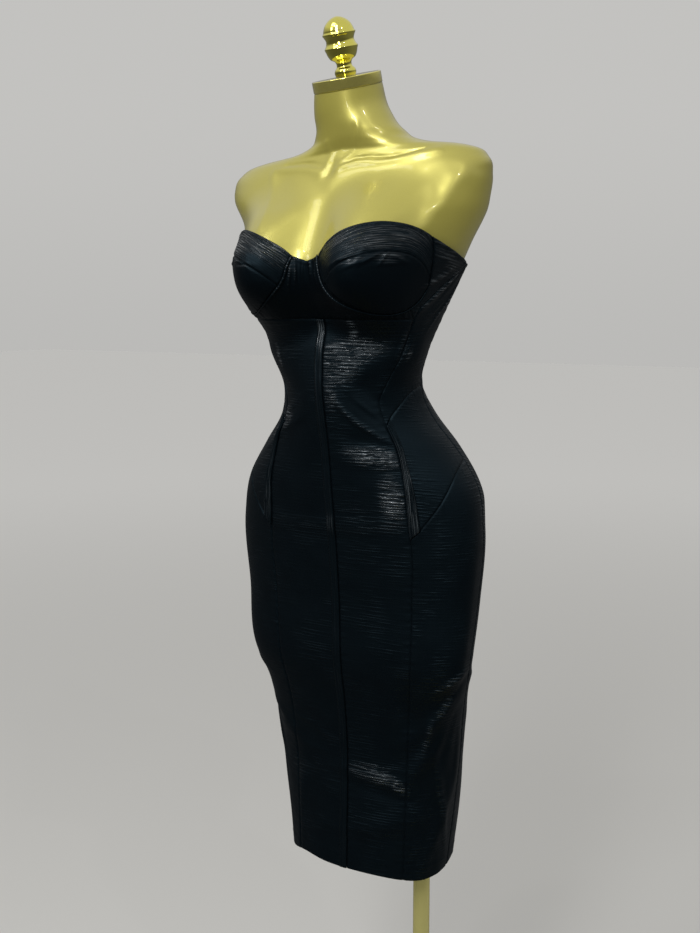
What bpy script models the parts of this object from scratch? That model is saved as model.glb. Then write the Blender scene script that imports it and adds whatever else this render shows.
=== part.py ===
"""Strapless princess-seamed bodycon dress on a limbless dress form with a turned finial.

The body is a stack of level sections. The dress is cut from that same surface, moved out:
each panel is a patch of heights and turns between seam curves, given a wall's thickness.
Heights are above the floor, turns are degrees round the body from the centre front (-Y),
positive towards the wearer's left (+X). The pole stands on the origin.
"""
import bpy
import bmesh
import math
import numpy as np
from mathutils import Vector

# ---- the cloth ----
WALL = 0.0014              # bonded cloth with its backing
CLEAR = 0.0011             # air between the form and the cloth
SEAM_GAP = 0.0003          # between two panels at a seam
TRIM_WALL = 0.0009         # tapes that lie on a panel
TRIM_LIFT = 0.0003         # air under a tape
EDGING_RADIUS = 0.0017     # rolled edging round each cup
EDGING_LIFT = 0.0009       # air under the edging, which lies in a valley
EDGING_SIDES = 6

# ---- where the body stands from the pole ----
BODY_X = -0.078
BODY_Y = -0.004

# ---- the body's level sections ----
# height, half width, front depth, back depth, centre y, squareness (2 is an ellipse)
BODY = [
    (0.472, 0.1080, 0.0620, 0.0830, 0.0040, 2.50),   # hem
    (0.560, 0.1175, 0.0600, 0.0870, 0.0040, 2.50),
    (0.640, 0.1265, 0.0545, 0.0910, -0.0020, 2.40),
    (0.712, 0.1390, 0.0460, 0.0950, -0.0190, 2.35),
    (0.748, 0.1500, 0.0390, 0.0970, -0.0330, 2.30),  # the form ends here
    (0.840, 0.1605, 0.0460, 0.1020, -0.0310, 2.25),
    (0.930, 0.1660, 0.0570, 0.1040, -0.0300, 2.20),  # hips
    (0.985, 0.1565, 0.0705, 0.1000, -0.0250, 2.20),
    (1.030, 0.1285, 0.0785, 0.0880, -0.0230, 2.15),
    (1.070, 0.0980, 0.0820, 0.0780, -0.0280, 2.10),
    (1.105, 0.0865, 0.0715, 0.0720, -0.0440, 2.10),  # waist
    (1.150, 0.1015, 0.0545, 0.0780, -0.0600, 2.15),
    (1.190, 0.1145, 0.0525, 0.0840, -0.0520, 2.25),  # under the bust
    (1.225, 0.1280, 0.0620, 0.0880, -0.0440, 2.30),
    (1.260, 0.1425, 0.0740, 0.0900, -0.0400, 2.40),  # underarm
    (1.300, 0.1590, 0.0820, 0.0870, -0.0320, 2.35),
    (1.330, 0.1700, 0.0810, 0.0820, -0.0260, 2.30),
    (1.352, 0.1775, 0.0750, 0.0760, -0.0220, 2.20),  # shoulder caps
    (1.372, 0.1725, 0.0680, 0.0660, -0.0200, 2.10),
    (1.384, 0.1540, 0.0620, 0.0600, -0.0210, 2.05),
    (1.390, 0.1290, 0.0570, 0.0560, -0.0250, 2.00),
    (1.395, 0.0980, 0.0530, 0.0530, -0.0310, 2.00),
    (1.402, 0.0720, 0.0500, 0.0510, -0.0370, 2.00),
    (1.414, 0.0560, 0.0460, 0.0480, -0.0440, 2.00),
    (1.434, 0.0470, 0.0425, 0.0440, -0.0500, 2.00),
    (1.4637, 0.0412, 0.0398, 0.0398, -0.0555, 2.00),  # top of the neck
]

# ---- rounded forms on the sections: bust in front, seat and the fall below it behind ----
# side offset, height, reach up, reach down, reach sideways, depth, facing (1 front, -1 back)
MOUNDS = [
    (0.068, 1.235, 0.137, 0.084, 0.102, 0.078, 1),
    (0.044, 0.905, 0.125, 0.115, 0.105, 0.021, -1),
    (0.000, 0.765, 0.110, 0.120, 0.115, 0.011, -1),
]
FACING_FADE = 0.55         # share of the front or back over which a mound fades in

# ---- the form's slight pose: how its shoulders and neck differ from side to side ----
# side (1 the wearer's left), rise, extra rise beside the neck, reach outwards, height where each
# starts and height where it is full
SHOULDERS = [
    (1, 0.0070, -0.0060, -0.0075, 1.315, 1.359),
    (-1, -0.0050, 0.0000, -0.0080, 1.255, 1.285),
    (-1, 0.0020, -0.0050, 0.0130, 1.310, 1.340),
]
SHOULDER_SOFTNESS = 0.050  # from the centre plane out to most of the rise
BESIDE_NECK = 0.064        # from the centre plane to the middle of the extra rise
REACH_FROM = 0.090         # from the centre plane to where the reach outwards starts
REACH_OVER = 0.106
POSE_TO = 1.405            # the shoulders' pose fades out up the neck
POSE_FADE = 0.030
NECK_SHIFT = 0.0106        # of the neck's foot towards the wearer's left
NECK_SHIFT_HEIGHT = 1.4065
NECK_SHIFT_SPREAD = 0.0234
NECK_LEAN = 3.3            # of the neck's top towards the wearer's right, in degrees
NECK_LEAN_FROM = 1.400

# ---- steps for the surface's slope, and turns ----
STEP_HEIGHT = 0.0008       # small steps that the surface's slope is taken over
STEP_TURN = 0.6
HALF_TURN = 180.0          # the centre back, from either side

# ---- largest folds of the cloth ----
# height, turn, half length, half width, depth, slant from level in degrees
FOLDS = [
    (0.690, 62.0, 0.070, 0.014, 0.0032, 28.0),
    (0.640, 55.0, 0.080, 0.015, 0.0030, 38.0),
    (0.655, -52.0, 0.060, 0.014, 0.0026, -24.0),
    (0.560, 78.0, 0.085, 0.016, 0.0028, 62.0),
    (0.545, 28.0, 0.060, 0.018, 0.0020, 10.0),
    (0.650, 150.0, 0.080, 0.016, 0.0030, -20.0),
    (0.600, -140.0, 0.085, 0.016, 0.0028, 24.0),
    (1.075, 22.0, 0.055, 0.013, 0.0016, -34.0),
    (1.065, -30.0, 0.050, 0.013, 0.0016, 30.0),
    (1.110, 150.0, 0.060, 0.013, 0.0018, 8.0),
    (1.095, -150.0, 0.060, 0.013, 0.0018, -10.0),
]
TURN_RADIUS = 0.13         # turns are measured as lengths at this radius, on folds and seams

# ---- seams, as (height, turn) points from one end to the other ----
HEM_HEIGHT = 0.472
UNDERBUST_HEIGHT = 1.190
PRINCESS_SKIRT = [(0.472, 40.5), (0.524, 38.5), (0.606, 37.0), (0.702, 36.5), (0.776, 35.5),
                  (0.849, 35.0), (0.899, 35.0), (0.925, 34.5)]
PRINCESS_HIP = [(0.925, 34.5), (0.969, 34.5), (0.999, 36.5), (1.030, 40.0), (1.060, 42.0)]
PRINCESS_WAIST = [(1.060, 42.0), (1.090, 45.0), (1.112, 54.0), (1.141, 61.5), (1.172, 65.0),
                  (1.190, 67.5)]
PRINCESS_BUST = [(1.190, 67.5), (1.203, 71.0), (1.214, 76.0), (1.229, 82.0), (1.240, 90.0),
                 (1.256, 102.0)]
SIDE_SKIRT = [(0.472, 92.0), (0.600, 95.0), (0.750, 96.0), (0.930, 97.0), (1.017, 95.0)]
SIDE_HIP = [(1.017, 95.0), (1.050, 92.5), (1.083, 95.0), (1.109, 104.0)]
SIDE_BODICE = [(1.109, 104.0), (1.150, 107.0), (1.205, 109.0), (1.256, 110.0)]
LOWER_DIAGONAL = [(0.925, 34.5), (0.938, 41.0), (0.950, 46.0), (0.967, 53.5), (0.987, 63.5),
                  (1.003, 75.0), (1.017, 95.0)]
UPPER_DIAGONAL = [(1.060, 42.0), (1.071, 48.5), (1.085, 61.0), (1.100, 79.0), (1.109, 104.0)]
BACK_TOP = [(1.256, 110.0), (1.250, 130.0), (1.243, 155.0), (1.240, 180.0)]
GORE_TOP = (1.256, 0.0)
CUP_INNER = [(1.262, 5.0), (1.250, 7.0), (1.238, 9.0), (1.228, 12.0)]
CUP_BOTTOM = [(1.228, 12.0), (1.218, 17.0), (1.209, 23.5), (1.203, 30.0), (1.198, 38.0),
              (1.196, 47.0), (1.197, 56.0), (1.202, 64.0), (1.212, 69.5), (1.225, 71.5),
              (1.238, 70.5)]
CUP_OUTER = [(1.238, 70.5), (1.254, 67.5), (1.269, 63.5), (1.283, 58.5)]
CUP_SEAM = [(1.228, 12.0), (1.240, 16.0), (1.251, 22.0), (1.259, 29.0), (1.264, 37.0),
            (1.265, 45.0), (1.262, 53.0), (1.253, 62.0), (1.238, 70.5)]
CUP_TOP = [(1.262, 5.0), (1.274, 9.0), (1.286, 15.5), (1.294, 23.0), (1.298, 31.0),
           (1.297, 39.5), (1.292, 48.5), (1.283, 58.5)]
YOKE_TOP = [(1.283, 58.5), (1.274, 70.5), (1.266, 84.0), (1.256, 102.0)]
CUP_CENTRE = (1.229, 42.0)

# ---- how many strips each piece of a seam is cut into ----
SKIRT_ROWS = 18
HIP_ROWS = 6
WAIST_ROWS = 6
BUST_ROWS = 6
FRONT_COLUMNS = 6
SIDE_COLUMNS = 5
BACK_COLUMNS = 8
CUP_SIDE_STEPS = 3
CUP_BOTTOM_STEPS = 12
CUP_SEAM_STEPS = 9
CUP_RINGS = 4
GORE_STEPS = 6
CRADLE_STEPS = 12          # of the cup's outline that the cradle runs along
CRADLE_COLUMNS = 3
YOKE_COLUMNS = 4
SIDE_SPAN = 55.0           # usual width of a side piece and of a back panel, in turns
BACK_SPAN = 75.0
SHARPEST_CORNER = 0.5      # limits how far a sheet's corner is drawn in
POINT_DIGITS = 6           # heights and turns equal to this many digits are one point

# ---- tapes ----
CASING_WIDTH = 0.011       # beside the centre-front seam
HIP_TAPE_WIDTH = 0.014     # beside the princess seam over the hip
ZIP_WIDTH = 0.006          # of the zip's flap, each side of the centre back
ZIP_ROWS = 20              # rows of the back, from the top, that the zip runs down

# ---- the dress form and its stand ----
FORM_BOTTOM = 0.744
FORM_TOP = BODY[-1][0]
FORM_COLUMNS = 42
FORM_FRONT_SHARE = 0.30    # how much closer the columns stand in front than on average
FORM_ROWS = 45
FORM_OUTLINE_SAMPLES = 600
FORM_TUCK = 0.0031         # how much slimmer the form is where the dress covers it
FORM_TUCK_TO = 1.276       # the tuck is full up to here and fades out over the next stretch
FORM_TUCK_FADE = 0.044
NECK_TILT = 15.0
NECK_TILT_FROM = 1.410
CAP_RADIUS = 0.0420
CAP_THICKNESS = 0.0135
CAP_BEVEL = 0.0012
CAP_SIDES = 40
# height above the cap and radius of the turned finial
FINIAL = [(0.0000, 0.0122), (0.0053, 0.0130), (0.0080, 0.0120), (0.0112, 0.0094), (0.0152, 0.0092),
          (0.0173, 0.0102), (0.0208, 0.0152), (0.0251, 0.0176), (0.0294, 0.0190), (0.0333, 0.0200),
          (0.0345, 0.0192), (0.0379, 0.0174), (0.0414, 0.0168), (0.0457, 0.0184), (0.0492, 0.0199),
          (0.0504, 0.0190), (0.0535, 0.0180), (0.0592, 0.0154), (0.0641, 0.0106), (0.0670, 0.0054),
          (0.0682, 0.0010)]
FINIAL_SIDES = 20
POLE_RADIUS = 0.0110
POLE_SIDES = 24
SOCKET_RADIUS = 0.028
SOCKET_THICKNESS = 0.012
BASE_RADIUS = 0.180
BASE_THICKNESS = 0.006
BASE_BEVEL = 0.0015
BASE_SIDES = 48
COLLAR_RADIUS = 0.022
COLLAR_HEIGHT = 0.034
FIT_GAP = 0.0003
SAME_POINT = 0.00001       # turned points nearer than this are merged on the axis

# ---- edges sharper than this many degrees stay sharp ----
CLOTH_SHARP = 40.0
FORM_SHARP = 60.0
TURNED_SHARP = 35.0

# ---- finishes: colour, roughness, metallic ----
FINISHES = {
    "black_cloth": ((0.010, 0.012, 0.014), 0.42, 0.0),
    "black_trim": ((0.014, 0.016, 0.018), 0.50, 0.0),
    "gold_paint": ((0.430, 0.370, 0.110), 0.30, 0.6),
    "gold_chrome": ((0.780, 0.610, 0.200), 0.12, 1.0),
}


def clear_scene():
    for item in list(bpy.data.objects):
        bpy.data.objects.remove(item, do_unlink=True)


def finish_material(name):
    found = bpy.data.materials.get(name)
    if found:
        return found
    colour, roughness, metallic = FINISHES[name]
    material = bpy.data.materials.new(name)
    material.use_nodes = True
    shader = material.node_tree.nodes["Principled BSDF"]
    shader.inputs["Base Color"].default_value = (*colour, 1.0)
    shader.inputs["Roughness"].default_value = roughness
    shader.inputs["Metallic"].default_value = metallic
    return material


def add_object(name, vertices, faces, finish, sharp=CLOTH_SHARP):
    """One named object from points and faces in world places."""
    mesh = bpy.data.meshes.new(name)
    mesh.from_pydata([tuple(map(float, v)) for v in vertices], [], [tuple(f) for f in faces])
    mesh.materials.append(finish_material(finish))
    mesh.shade_smooth()
    mesh.set_sharp_from_angle(angle=math.radians(sharp))
    item = bpy.data.objects.new(name, mesh)
    bpy.context.scene.collection.objects.link(item)
    return item


# ---------------------------------------------------------------- the body's surface

def through_rows(heights, values, at):
    """Smooth curve through a table's column: cubic pieces with averaged slopes."""
    gaps = np.diff(heights)
    slopes = np.diff(values) / gaps
    tangents = np.empty_like(values)
    tangents[1:-1] = (slopes[:-1] * gaps[1:] + slopes[1:] * gaps[:-1]) / (gaps[1:] + gaps[:-1])
    tangents[0] = slopes[0]
    tangents[-1] = slopes[-1]
    i = np.clip(np.searchsorted(heights, at, side="right") - 1, 0, len(heights) - 2)
    t = (at - heights[i]) / gaps[i]
    return ((1 + 2 * t) * (1 - t) ** 2 * values[i] + t * (1 - t) ** 2 * gaps[i] * tangents[i]
            + t * t * (3 - 2 * t) * values[i + 1] + t * t * (t - 1) * gaps[i] * tangents[i + 1])


def signed_power(value, power):
    return np.sign(value) * np.abs(value) ** power


def smooth_step(value):
    t = np.clip(value, 0.0, 1.0)
    return t * t * (3 - 2 * t)


def slope_of_neck(degrees, start, heights):
    """The slope of the level sections, growing from none at the start height to full at the top."""
    return math.tan(math.radians(degrees)) * smooth_step((heights - start) / (FORM_TOP - start))


def neck_shift(heights):
    return NECK_SHIFT * np.exp(-((heights - NECK_SHIFT_HEIGHT) / NECK_SHIFT_SPREAD) ** 2)


def shoulder_pose(heights, x):
    """How far each shoulder is lifted and reaches outwards, by height and side offset."""
    lift = np.zeros_like(x)
    spread = np.zeros_like(x)
    for side, rise, beside, reach, start, full in SHOULDERS:
        out = np.clip(x * side, 0.0, None)
        grown = smooth_step((heights - start) / (full - start))
        grown = grown * (1.0 - smooth_step((heights - POSE_TO) / POSE_FADE))
        hump = out / BESIDE_NECK * np.exp(0.5 - 0.5 * (out / BESIDE_NECK) ** 2)
        lift = lift + grown * (rise * np.tanh(out / SHOULDER_SOFTNESS) + beside * hump)
        spread = spread + side * reach * grown * smooth_step((out - REACH_FROM) / REACH_OVER)
    return lift, spread


def body_surface(heights, turns):
    """Points of the body at heights and turns: a superellipse section with the mounds pushed out."""
    heights = np.asarray(heights, float)
    angles = np.radians(np.asarray(turns, float))
    table = np.array(BODY)
    half_width, front, back, centre_y, squareness = (
        through_rows(table[:, 0], table[:, k], heights) for k in range(1, 6))
    sine = np.sin(angles)
    cosine = np.cos(angles)
    depth = np.where(cosine > 0, front, back)
    x = half_width * signed_power(sine, 2 / squareness)
    y = centre_y - depth * signed_power(cosine, 2 / squareness)
    push = np.zeros_like(x)
    for offset, level, up, down, sideways, size, facing in MOUNDS:
        fade = smooth_step(facing * cosine / FACING_FADE)
        rise = (heights - level) / np.where(heights > level, up, down)
        for side in (-1, 1):
            across = (x * side - offset) / sideways
            away = np.clip(np.hypot(across, rise), 0.0, 1.0)
            push = push - facing * size * fade * np.cos(away * math.pi / 2) ** 2
    forward = slope_of_neck(NECK_TILT, NECK_TILT_FROM, heights) * (y - centre_y)
    sideways = slope_of_neck(NECK_LEAN, NECK_LEAN_FROM, heights) * x
    lift, reach = shoulder_pose(heights, x)
    return np.stack([x + reach + neck_shift(heights) + BODY_X, y + push + BODY_Y,
                     heights + forward + sideways + lift], axis=-1)


def body_normals(heights, turns):
    """Outward unit normals, from small steps of height and turn."""
    upward = body_surface(heights + STEP_HEIGHT, turns) - body_surface(heights - STEP_HEIGHT, turns)
    sideways = body_surface(heights, turns + STEP_TURN) - body_surface(heights, turns - STEP_TURN)
    normals = np.cross(sideways, upward)
    return normals / np.linalg.norm(normals, axis=-1, keepdims=True)


def fold_height(heights, turns):
    """How far the folds stand out: soft ridges, fading at their ends."""
    total = np.zeros_like(heights)
    for level, turn, half_length, half_width, depth, slant in FOLDS:
        turned = (turns - turn + HALF_TURN) % (2 * HALF_TURN) - HALF_TURN
        across_body = np.radians(turned) * TURN_RADIUS
        rise = heights - level
        angle = math.radians(slant)
        along = across_body * math.cos(angle) + rise * math.sin(angle)
        across = rise * math.cos(angle) - across_body * math.sin(angle)
        total = total + depth * np.exp(-(across / half_width) ** 2 - (along / half_length) ** 2)
    return total


def cloth_surface(heights, turns, lift):
    """Points of the cloth, lift above its inner side, and their normals."""
    normals = body_normals(heights, turns)
    out = CLEAR + fold_height(heights, turns) + lift
    return body_surface(heights, turns) + normals * out[..., None], normals


# ---------------------------------------------------------------- seam curves and patches

def along_seam(points, shares):
    """Heights and turns at the given shares of a seam's length, on a smooth curve through its points."""
    table = np.array(points, float)
    metric = table * np.array([1.0, math.radians(1.0) * TURN_RADIUS])
    reach = np.concatenate([[0.0], np.cumsum(np.linalg.norm(np.diff(metric, axis=0), axis=1))])
    at = np.asarray(shares, float) * reach[-1]
    return np.stack([through_rows(reach, table[:, k], at) for k in range(2)], axis=-1)


def even(steps):
    return np.linspace(0.0, 1.0, steps + 1)


def with_first(steps, first):
    """Shares from 0 to 1 whose first step is given and whose others are equal."""
    return np.concatenate([[0.0], np.linspace(first, 1.0, steps)])


def patch(bottom, top, left, right, across, up):
    """A grid of heights and turns that fills the space between four edge curves."""
    u = np.asarray(across)[None, :, None]
    v = np.asarray(up)[:, None, None]
    ruled_up = (1 - v) * bottom[None] + v * top[None]
    ruled_across = (1 - u) * left[:, None] + u * right[:, None]
    corners = ((1 - u) * (1 - v) * bottom[0] + u * (1 - v) * bottom[-1]
               + (1 - u) * v * top[0] + u * v * top[-1])
    return ruled_up + ruled_across - corners


def grid_sheet(grid):
    """The points and faces of a grid, faces turning the same way as height and turn."""
    rows, columns = grid.shape[:2]
    index = np.arange(rows * columns).reshape(rows, columns)
    faces = [(index[i, j], index[i, j + 1], index[i + 1, j + 1], index[i + 1, j])
             for i in range(rows - 1) for j in range(columns - 1)]
    return grid.reshape(-1, 2), faces


def disc_sheet(loop, centre, rings):
    """The points and faces of a region inside a closed loop, as rings drawn in to its centre."""
    middle = np.array(centre)
    shares = 1.0 - np.arange(rings) / rings
    points = np.concatenate([middle + (loop - middle) * share for share in shares] + [middle[None]])
    count = len(loop)
    faces = []
    for ring in range(rings - 1):
        for k in range(count):
            a = ring * count + k
            b = ring * count + (k + 1) % count
            faces.append((a, b, b + count, a + count))
    last = (rings - 1) * count
    for k in range(count):
        faces.append((last + k, last + (k + 1) % count, rings * count))
    return points, faces


def mirrored(sheet):
    points, faces = sheet
    return points * np.array([1.0, -1.0]), [tuple(reversed(face)) for face in faces]


def joined(sheets):
    """Several sheets as one, with the points that they share merged."""
    points = []
    faces = []
    known = {}
    for sheet_points, sheet_faces in sheets:
        places = []
        for height, turn in sheet_points:
            unwrapped = HALF_TURN if math.isclose(abs(turn), HALF_TURN) else turn
            key = (round(height, POINT_DIGITS), round(unwrapped, POINT_DIGITS))
            if key not in known:
                known[key] = len(points)
                points.append((height, turn))
            places.append(known[key])
        faces.extend(tuple(places[i] for i in face) for face in sheet_faces)
    return np.array(points), faces


def split_faces(faces):
    """Each four-sided face as two triangles, cut from its first corner."""
    return [triangle for face in faces
            for triangle in ((face,) if len(face) == 3 else (face[:3], (face[0], face[2], face[3])))]


def border_edges(faces):
    """Edges used by one face only, in that face's order."""
    used = {(face[i], face[(i + 1) % len(face)]) for face in faces for i in range(len(face))}
    return [edge for edge in sorted(used) if (edge[1], edge[0]) not in used]


def drawn_in(points, normals, edges, distance):
    """Border points moved into the sheet by the distance, square to their two edges."""
    inward = np.zeros_like(points)
    counted = {}
    for a, b in edges:
        direction = points[b] - points[a]
        direction = direction / np.linalg.norm(direction)
        for vertex in (a, b):
            side = np.cross(normals[vertex], direction)
            counted.setdefault(vertex, []).append(side / np.linalg.norm(side))
    for vertex, sides in counted.items():
        total = sum(sides)
        share = 1.0 + float(np.dot(sides[0], sides[-1])) if len(sides) > 1 else 1.0
        inward[vertex] = total / max(share, SHARPEST_CORNER)
    return points + inward * distance


def add_cloth(name, sheet, finish="black_cloth", lift=0.0, wall=WALL):
    """A closed wall of cloth on a sheet of heights and turns."""
    places, faces = sheet
    inner, normals = cloth_surface(places[:, 0], places[:, 1], lift)
    edges = border_edges(faces)
    inner = drawn_in(inner, normals, edges, SEAM_GAP / 2)
    outer = inner + normals * wall
    count = len(places)
    triangles = split_faces(faces)
    solid_faces = list(triangles)
    solid_faces += [tuple(i + count for i in reversed(face)) for face in triangles]
    solid_faces += [(b, a, a + count, b + count) for a, b in edges]
    return add_object(name, np.concatenate([outer, inner]), solid_faces, finish)


# ---------------------------------------------------------------- the dress

def seam_samples():
    """The points of each seam of the wearer's left half, shared by the panels that meet there."""
    return {
        "princess": [along_seam(PRINCESS_SKIRT, even(SKIRT_ROWS)),
                     along_seam(PRINCESS_HIP, even(HIP_ROWS)),
                     along_seam(PRINCESS_WAIST, even(WAIST_ROWS)),
                     along_seam(PRINCESS_BUST, even(BUST_ROWS))],
        "side": [along_seam(SIDE_SKIRT, even(SKIRT_ROWS)),
                 along_seam(SIDE_HIP, even(HIP_ROWS)),
                 along_seam(SIDE_BODICE, even(WAIST_ROWS + BUST_ROWS))],
        "cup": np.concatenate([along_seam(CUP_INNER, even(CUP_SIDE_STEPS)),
                               along_seam(CUP_BOTTOM, even(CUP_BOTTOM_STEPS))[1:],
                               along_seam(CUP_OUTER, even(CUP_SIDE_STEPS))[1:]]),
        "cup_seam": along_seam(CUP_SEAM, even(CUP_SEAM_STEPS)),
    }


def chained(pieces):
    return np.concatenate([pieces[0]] + [piece[1:] for piece in pieces[1:]])


def turn_at_offset(heights, offset):
    """The turn at which the section is the given distance from the centre plane, near its front."""
    table = np.array(BODY)
    half_width = through_rows(table[:, 0], table[:, 1], heights)
    squareness = through_rows(table[:, 0], table[:, 5], heights)
    return np.degrees(np.arcsin((offset / half_width) ** (squareness / 2)))


def front_centre_grid(seams):
    """From the centre front to the princess seam, its first column as wide as the casing."""
    edge = chained(seams["princess"][:3])
    first = turn_at_offset(edge[:, 0], CASING_WIDTH) / edge[:, 1]
    return np.array([[(height, turn * share) for share in with_first(FRONT_COLUMNS, start)]
                     for (height, turn), start in zip(edge, first)])


def side_grid(left, right, bottom_curve, top_curve):
    """A side piece between the princess and the side seam, its first column a tape wide."""
    span = math.radians(SIDE_SPAN) * TURN_RADIUS
    across = with_first(SIDE_COLUMNS, HIP_TAPE_WIDTH / span)
    bottom = along_seam(bottom_curve, across)
    top = along_seam(top_curve, across)
    return patch(bottom, top, left, right, across, even(len(left) - 1))


def back_grid(seams):
    """From the side seam to the centre back, its last column as wide as half the zip's flap."""
    left = chained(seams["side"])
    steps = len(left) - 1
    span = math.radians(BACK_SPAN) * TURN_RADIUS
    across = 1.0 - with_first(BACK_COLUMNS, ZIP_WIDTH / span)[::-1]
    levels = (left[:, 0] - HEM_HEIGHT) / (left[-1, 0] - HEM_HEIGHT)
    right = np.stack([HEM_HEIGHT + levels * (BACK_TOP[-1][0] - HEM_HEIGHT),
                      np.full(steps + 1, HALF_TURN)], axis=-1)
    bottom = np.array([(HEM_HEIGHT, left[0, 1] + (HALF_TURN - left[0, 1]) * share)
                       for share in across])
    top = along_seam(BACK_TOP, across)
    return patch(bottom, top, left, right, across, levels)


def cradle_grid(seams, underbust):
    """From the centre line and the underbust seam, in to the lower edge of the cup."""
    outline = seams["cup"][:CRADLE_STEPS + 1]
    heights = np.linspace(GORE_TOP[0], UNDERBUST_HEIGHT, GORE_STEPS + 1)
    centre = np.stack([heights, np.zeros_like(heights)], axis=-1)
    outer = np.concatenate([centre, underbust[1:]])
    shares = even(CRADLE_COLUMNS)[:, None, None]
    return outer[None] * (1 - shares) + outline[None] * shares


def yoke_grid(seams):
    """Between the cup's outer edge and the princess seam, under the arm."""
    left = seams["cup"][CRADLE_STEPS:]
    right = seams["princess"][3]
    across = even(YOKE_COLUMNS)
    bottom = left[0] + (right[0] - left[0]) * across[:, None]
    top = along_seam(YOKE_TOP, across)
    return patch(bottom, top, left, right, across, even(BUST_ROWS))


def upper_cup_grid(seams):
    """Between the cup's cross seam and the neckline."""
    outline = seams["cup"]
    left = outline[:CUP_SIDE_STEPS + 1][::-1]
    right = outline[-CUP_SIDE_STEPS - 1:]
    across = even(CUP_SEAM_STEPS)
    return patch(seams["cup_seam"], along_seam(CUP_TOP, across), left, right, across,
                 even(CUP_SIDE_STEPS))


def lower_cup_loop(seams):
    """The closed outline of the lower cup: its bottom edge and the cup's cross seam."""
    bottom = seams["cup"][CUP_SIDE_STEPS:CUP_SIDE_STEPS + CUP_BOTTOM_STEPS + 1]
    return np.concatenate([bottom, seams["cup_seam"][1:-1][::-1]])


def add_edging(name, outline):
    """A rolled edging that follows the cup's outline, in the valley between cup and body."""
    lift = WALL + EDGING_LIFT + EDGING_RADIUS
    path, normals = cloth_surface(outline[:, 0], outline[:, 1], lift)
    ahead = np.gradient(path, axis=0)
    ahead = ahead / np.linalg.norm(ahead, axis=1, keepdims=True)
    sides = np.cross(ahead, normals)
    angles = np.arange(EDGING_SIDES) * 2 * math.pi / EDGING_SIDES
    rings = (path[:, None] + EDGING_RADIUS * (np.cos(angles)[None, :, None] * normals[:, None]
                                              + np.sin(angles)[None, :, None] * sides[:, None]))
    count = len(path)
    faces = []
    for i in range(count - 1):
        for k in range(EDGING_SIDES):
            following = (k + 1) % EDGING_SIDES
            a = i * EDGING_SIDES
            b = a + EDGING_SIDES
            faces.append((a + k, b + k, b + following, a + following))
    faces.append(tuple(range(EDGING_SIDES)))
    last = (count - 1) * EDGING_SIDES
    faces.append(tuple(last + k for k in reversed(range(EDGING_SIDES))))
    item = add_object(name, rings.reshape(-1, 3), faces, "black_trim")
    face_outwards(item)
    return item


def face_outwards(item):
    mesh = bmesh.new()
    mesh.from_mesh(item.data)
    bmesh.ops.recalc_face_normals(mesh, faces=mesh.faces)
    mesh.to_mesh(item.data)
    mesh.free()


def build_dress():
    seams = seam_samples()
    princess = seams["princess"]
    side = seams["side"]
    bodice_left = chained(princess[2:])
    hem = [(HEM_HEIGHT, princess[0][0, 1]), (HEM_HEIGHT, side[0][0, 1])]
    bodice_top = [tuple(bodice_left[-1]), tuple(side[2][-1])]
    grids = {
        "front_centre": front_centre_grid(seams),
        "skirt_side": side_grid(princess[0], side[0], hem, LOWER_DIAGONAL),
        "hip_inset": side_grid(princess[1], side[1], LOWER_DIAGONAL, UPPER_DIAGONAL),
        "bodice_side": side_grid(bodice_left, side[2], UPPER_DIAGONAL, bodice_top),
        "back": back_grid(seams),
        "side_yoke": yoke_grid(seams),
        "upper_cup": upper_cup_grid(seams),
    }
    sheets = {name: grid_sheet(grid) for name, grid in grids.items()}
    sheets["lower_cup"] = disc_sheet(lower_cup_loop(seams), CUP_CENTRE, CUP_RINGS)
    for name, sheet in sheets.items():
        add_cloth(name + "_left", sheet)
        add_cloth(name + "_right", mirrored(sheet))
    cradle = grid_sheet(cradle_grid(seams, grids["front_centre"][-1]))
    add_cloth("gore_cradle", joined([cradle, mirrored(cradle)]))
    add_edging("cup_edging_left", seams["cup"])
    add_edging("cup_edging_right", seams["cup"] * np.array([1.0, -1.0]))
    add_tapes(grids["front_centre"], grids["hip_inset"], grids["back"])


def add_tapes(front, hip, back):
    """Tapes that lie on the panels, from the first or last two columns of the panels' own grids."""
    lift = WALL + TRIM_LIFT
    add_cloth("centre_casing", mirrored(grid_sheet(front[:, :2])), "black_trim", lift, TRIM_WALL)
    tape = grid_sheet(hip[:, :2])
    add_cloth("hip_tape_left", tape, "black_trim", lift, TRIM_WALL)
    add_cloth("hip_tape_right", mirrored(tape), "black_trim", lift, TRIM_WALL)
    flap = grid_sheet(back[-ZIP_ROWS - 1:, -2:])
    add_cloth("back_zip_flap", joined([flap, mirrored(flap)]), "black_trim", lift, TRIM_WALL)


# ---------------------------------------------------------------- the form and its stand

def form_rows():
    """Heights of the form's rings, at even steps along its side outline."""
    table = np.array(BODY)
    fine = np.linspace(FORM_BOTTOM, FORM_TOP, FORM_OUTLINE_SAMPLES)
    half_width = through_rows(table[:, 0], table[:, 1], fine)
    reach = np.concatenate([[0.0], np.cumsum(np.hypot(np.diff(fine), np.diff(half_width)))])
    return np.interp(np.linspace(0.0, reach[-1], FORM_ROWS + 1), reach, fine)


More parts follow.
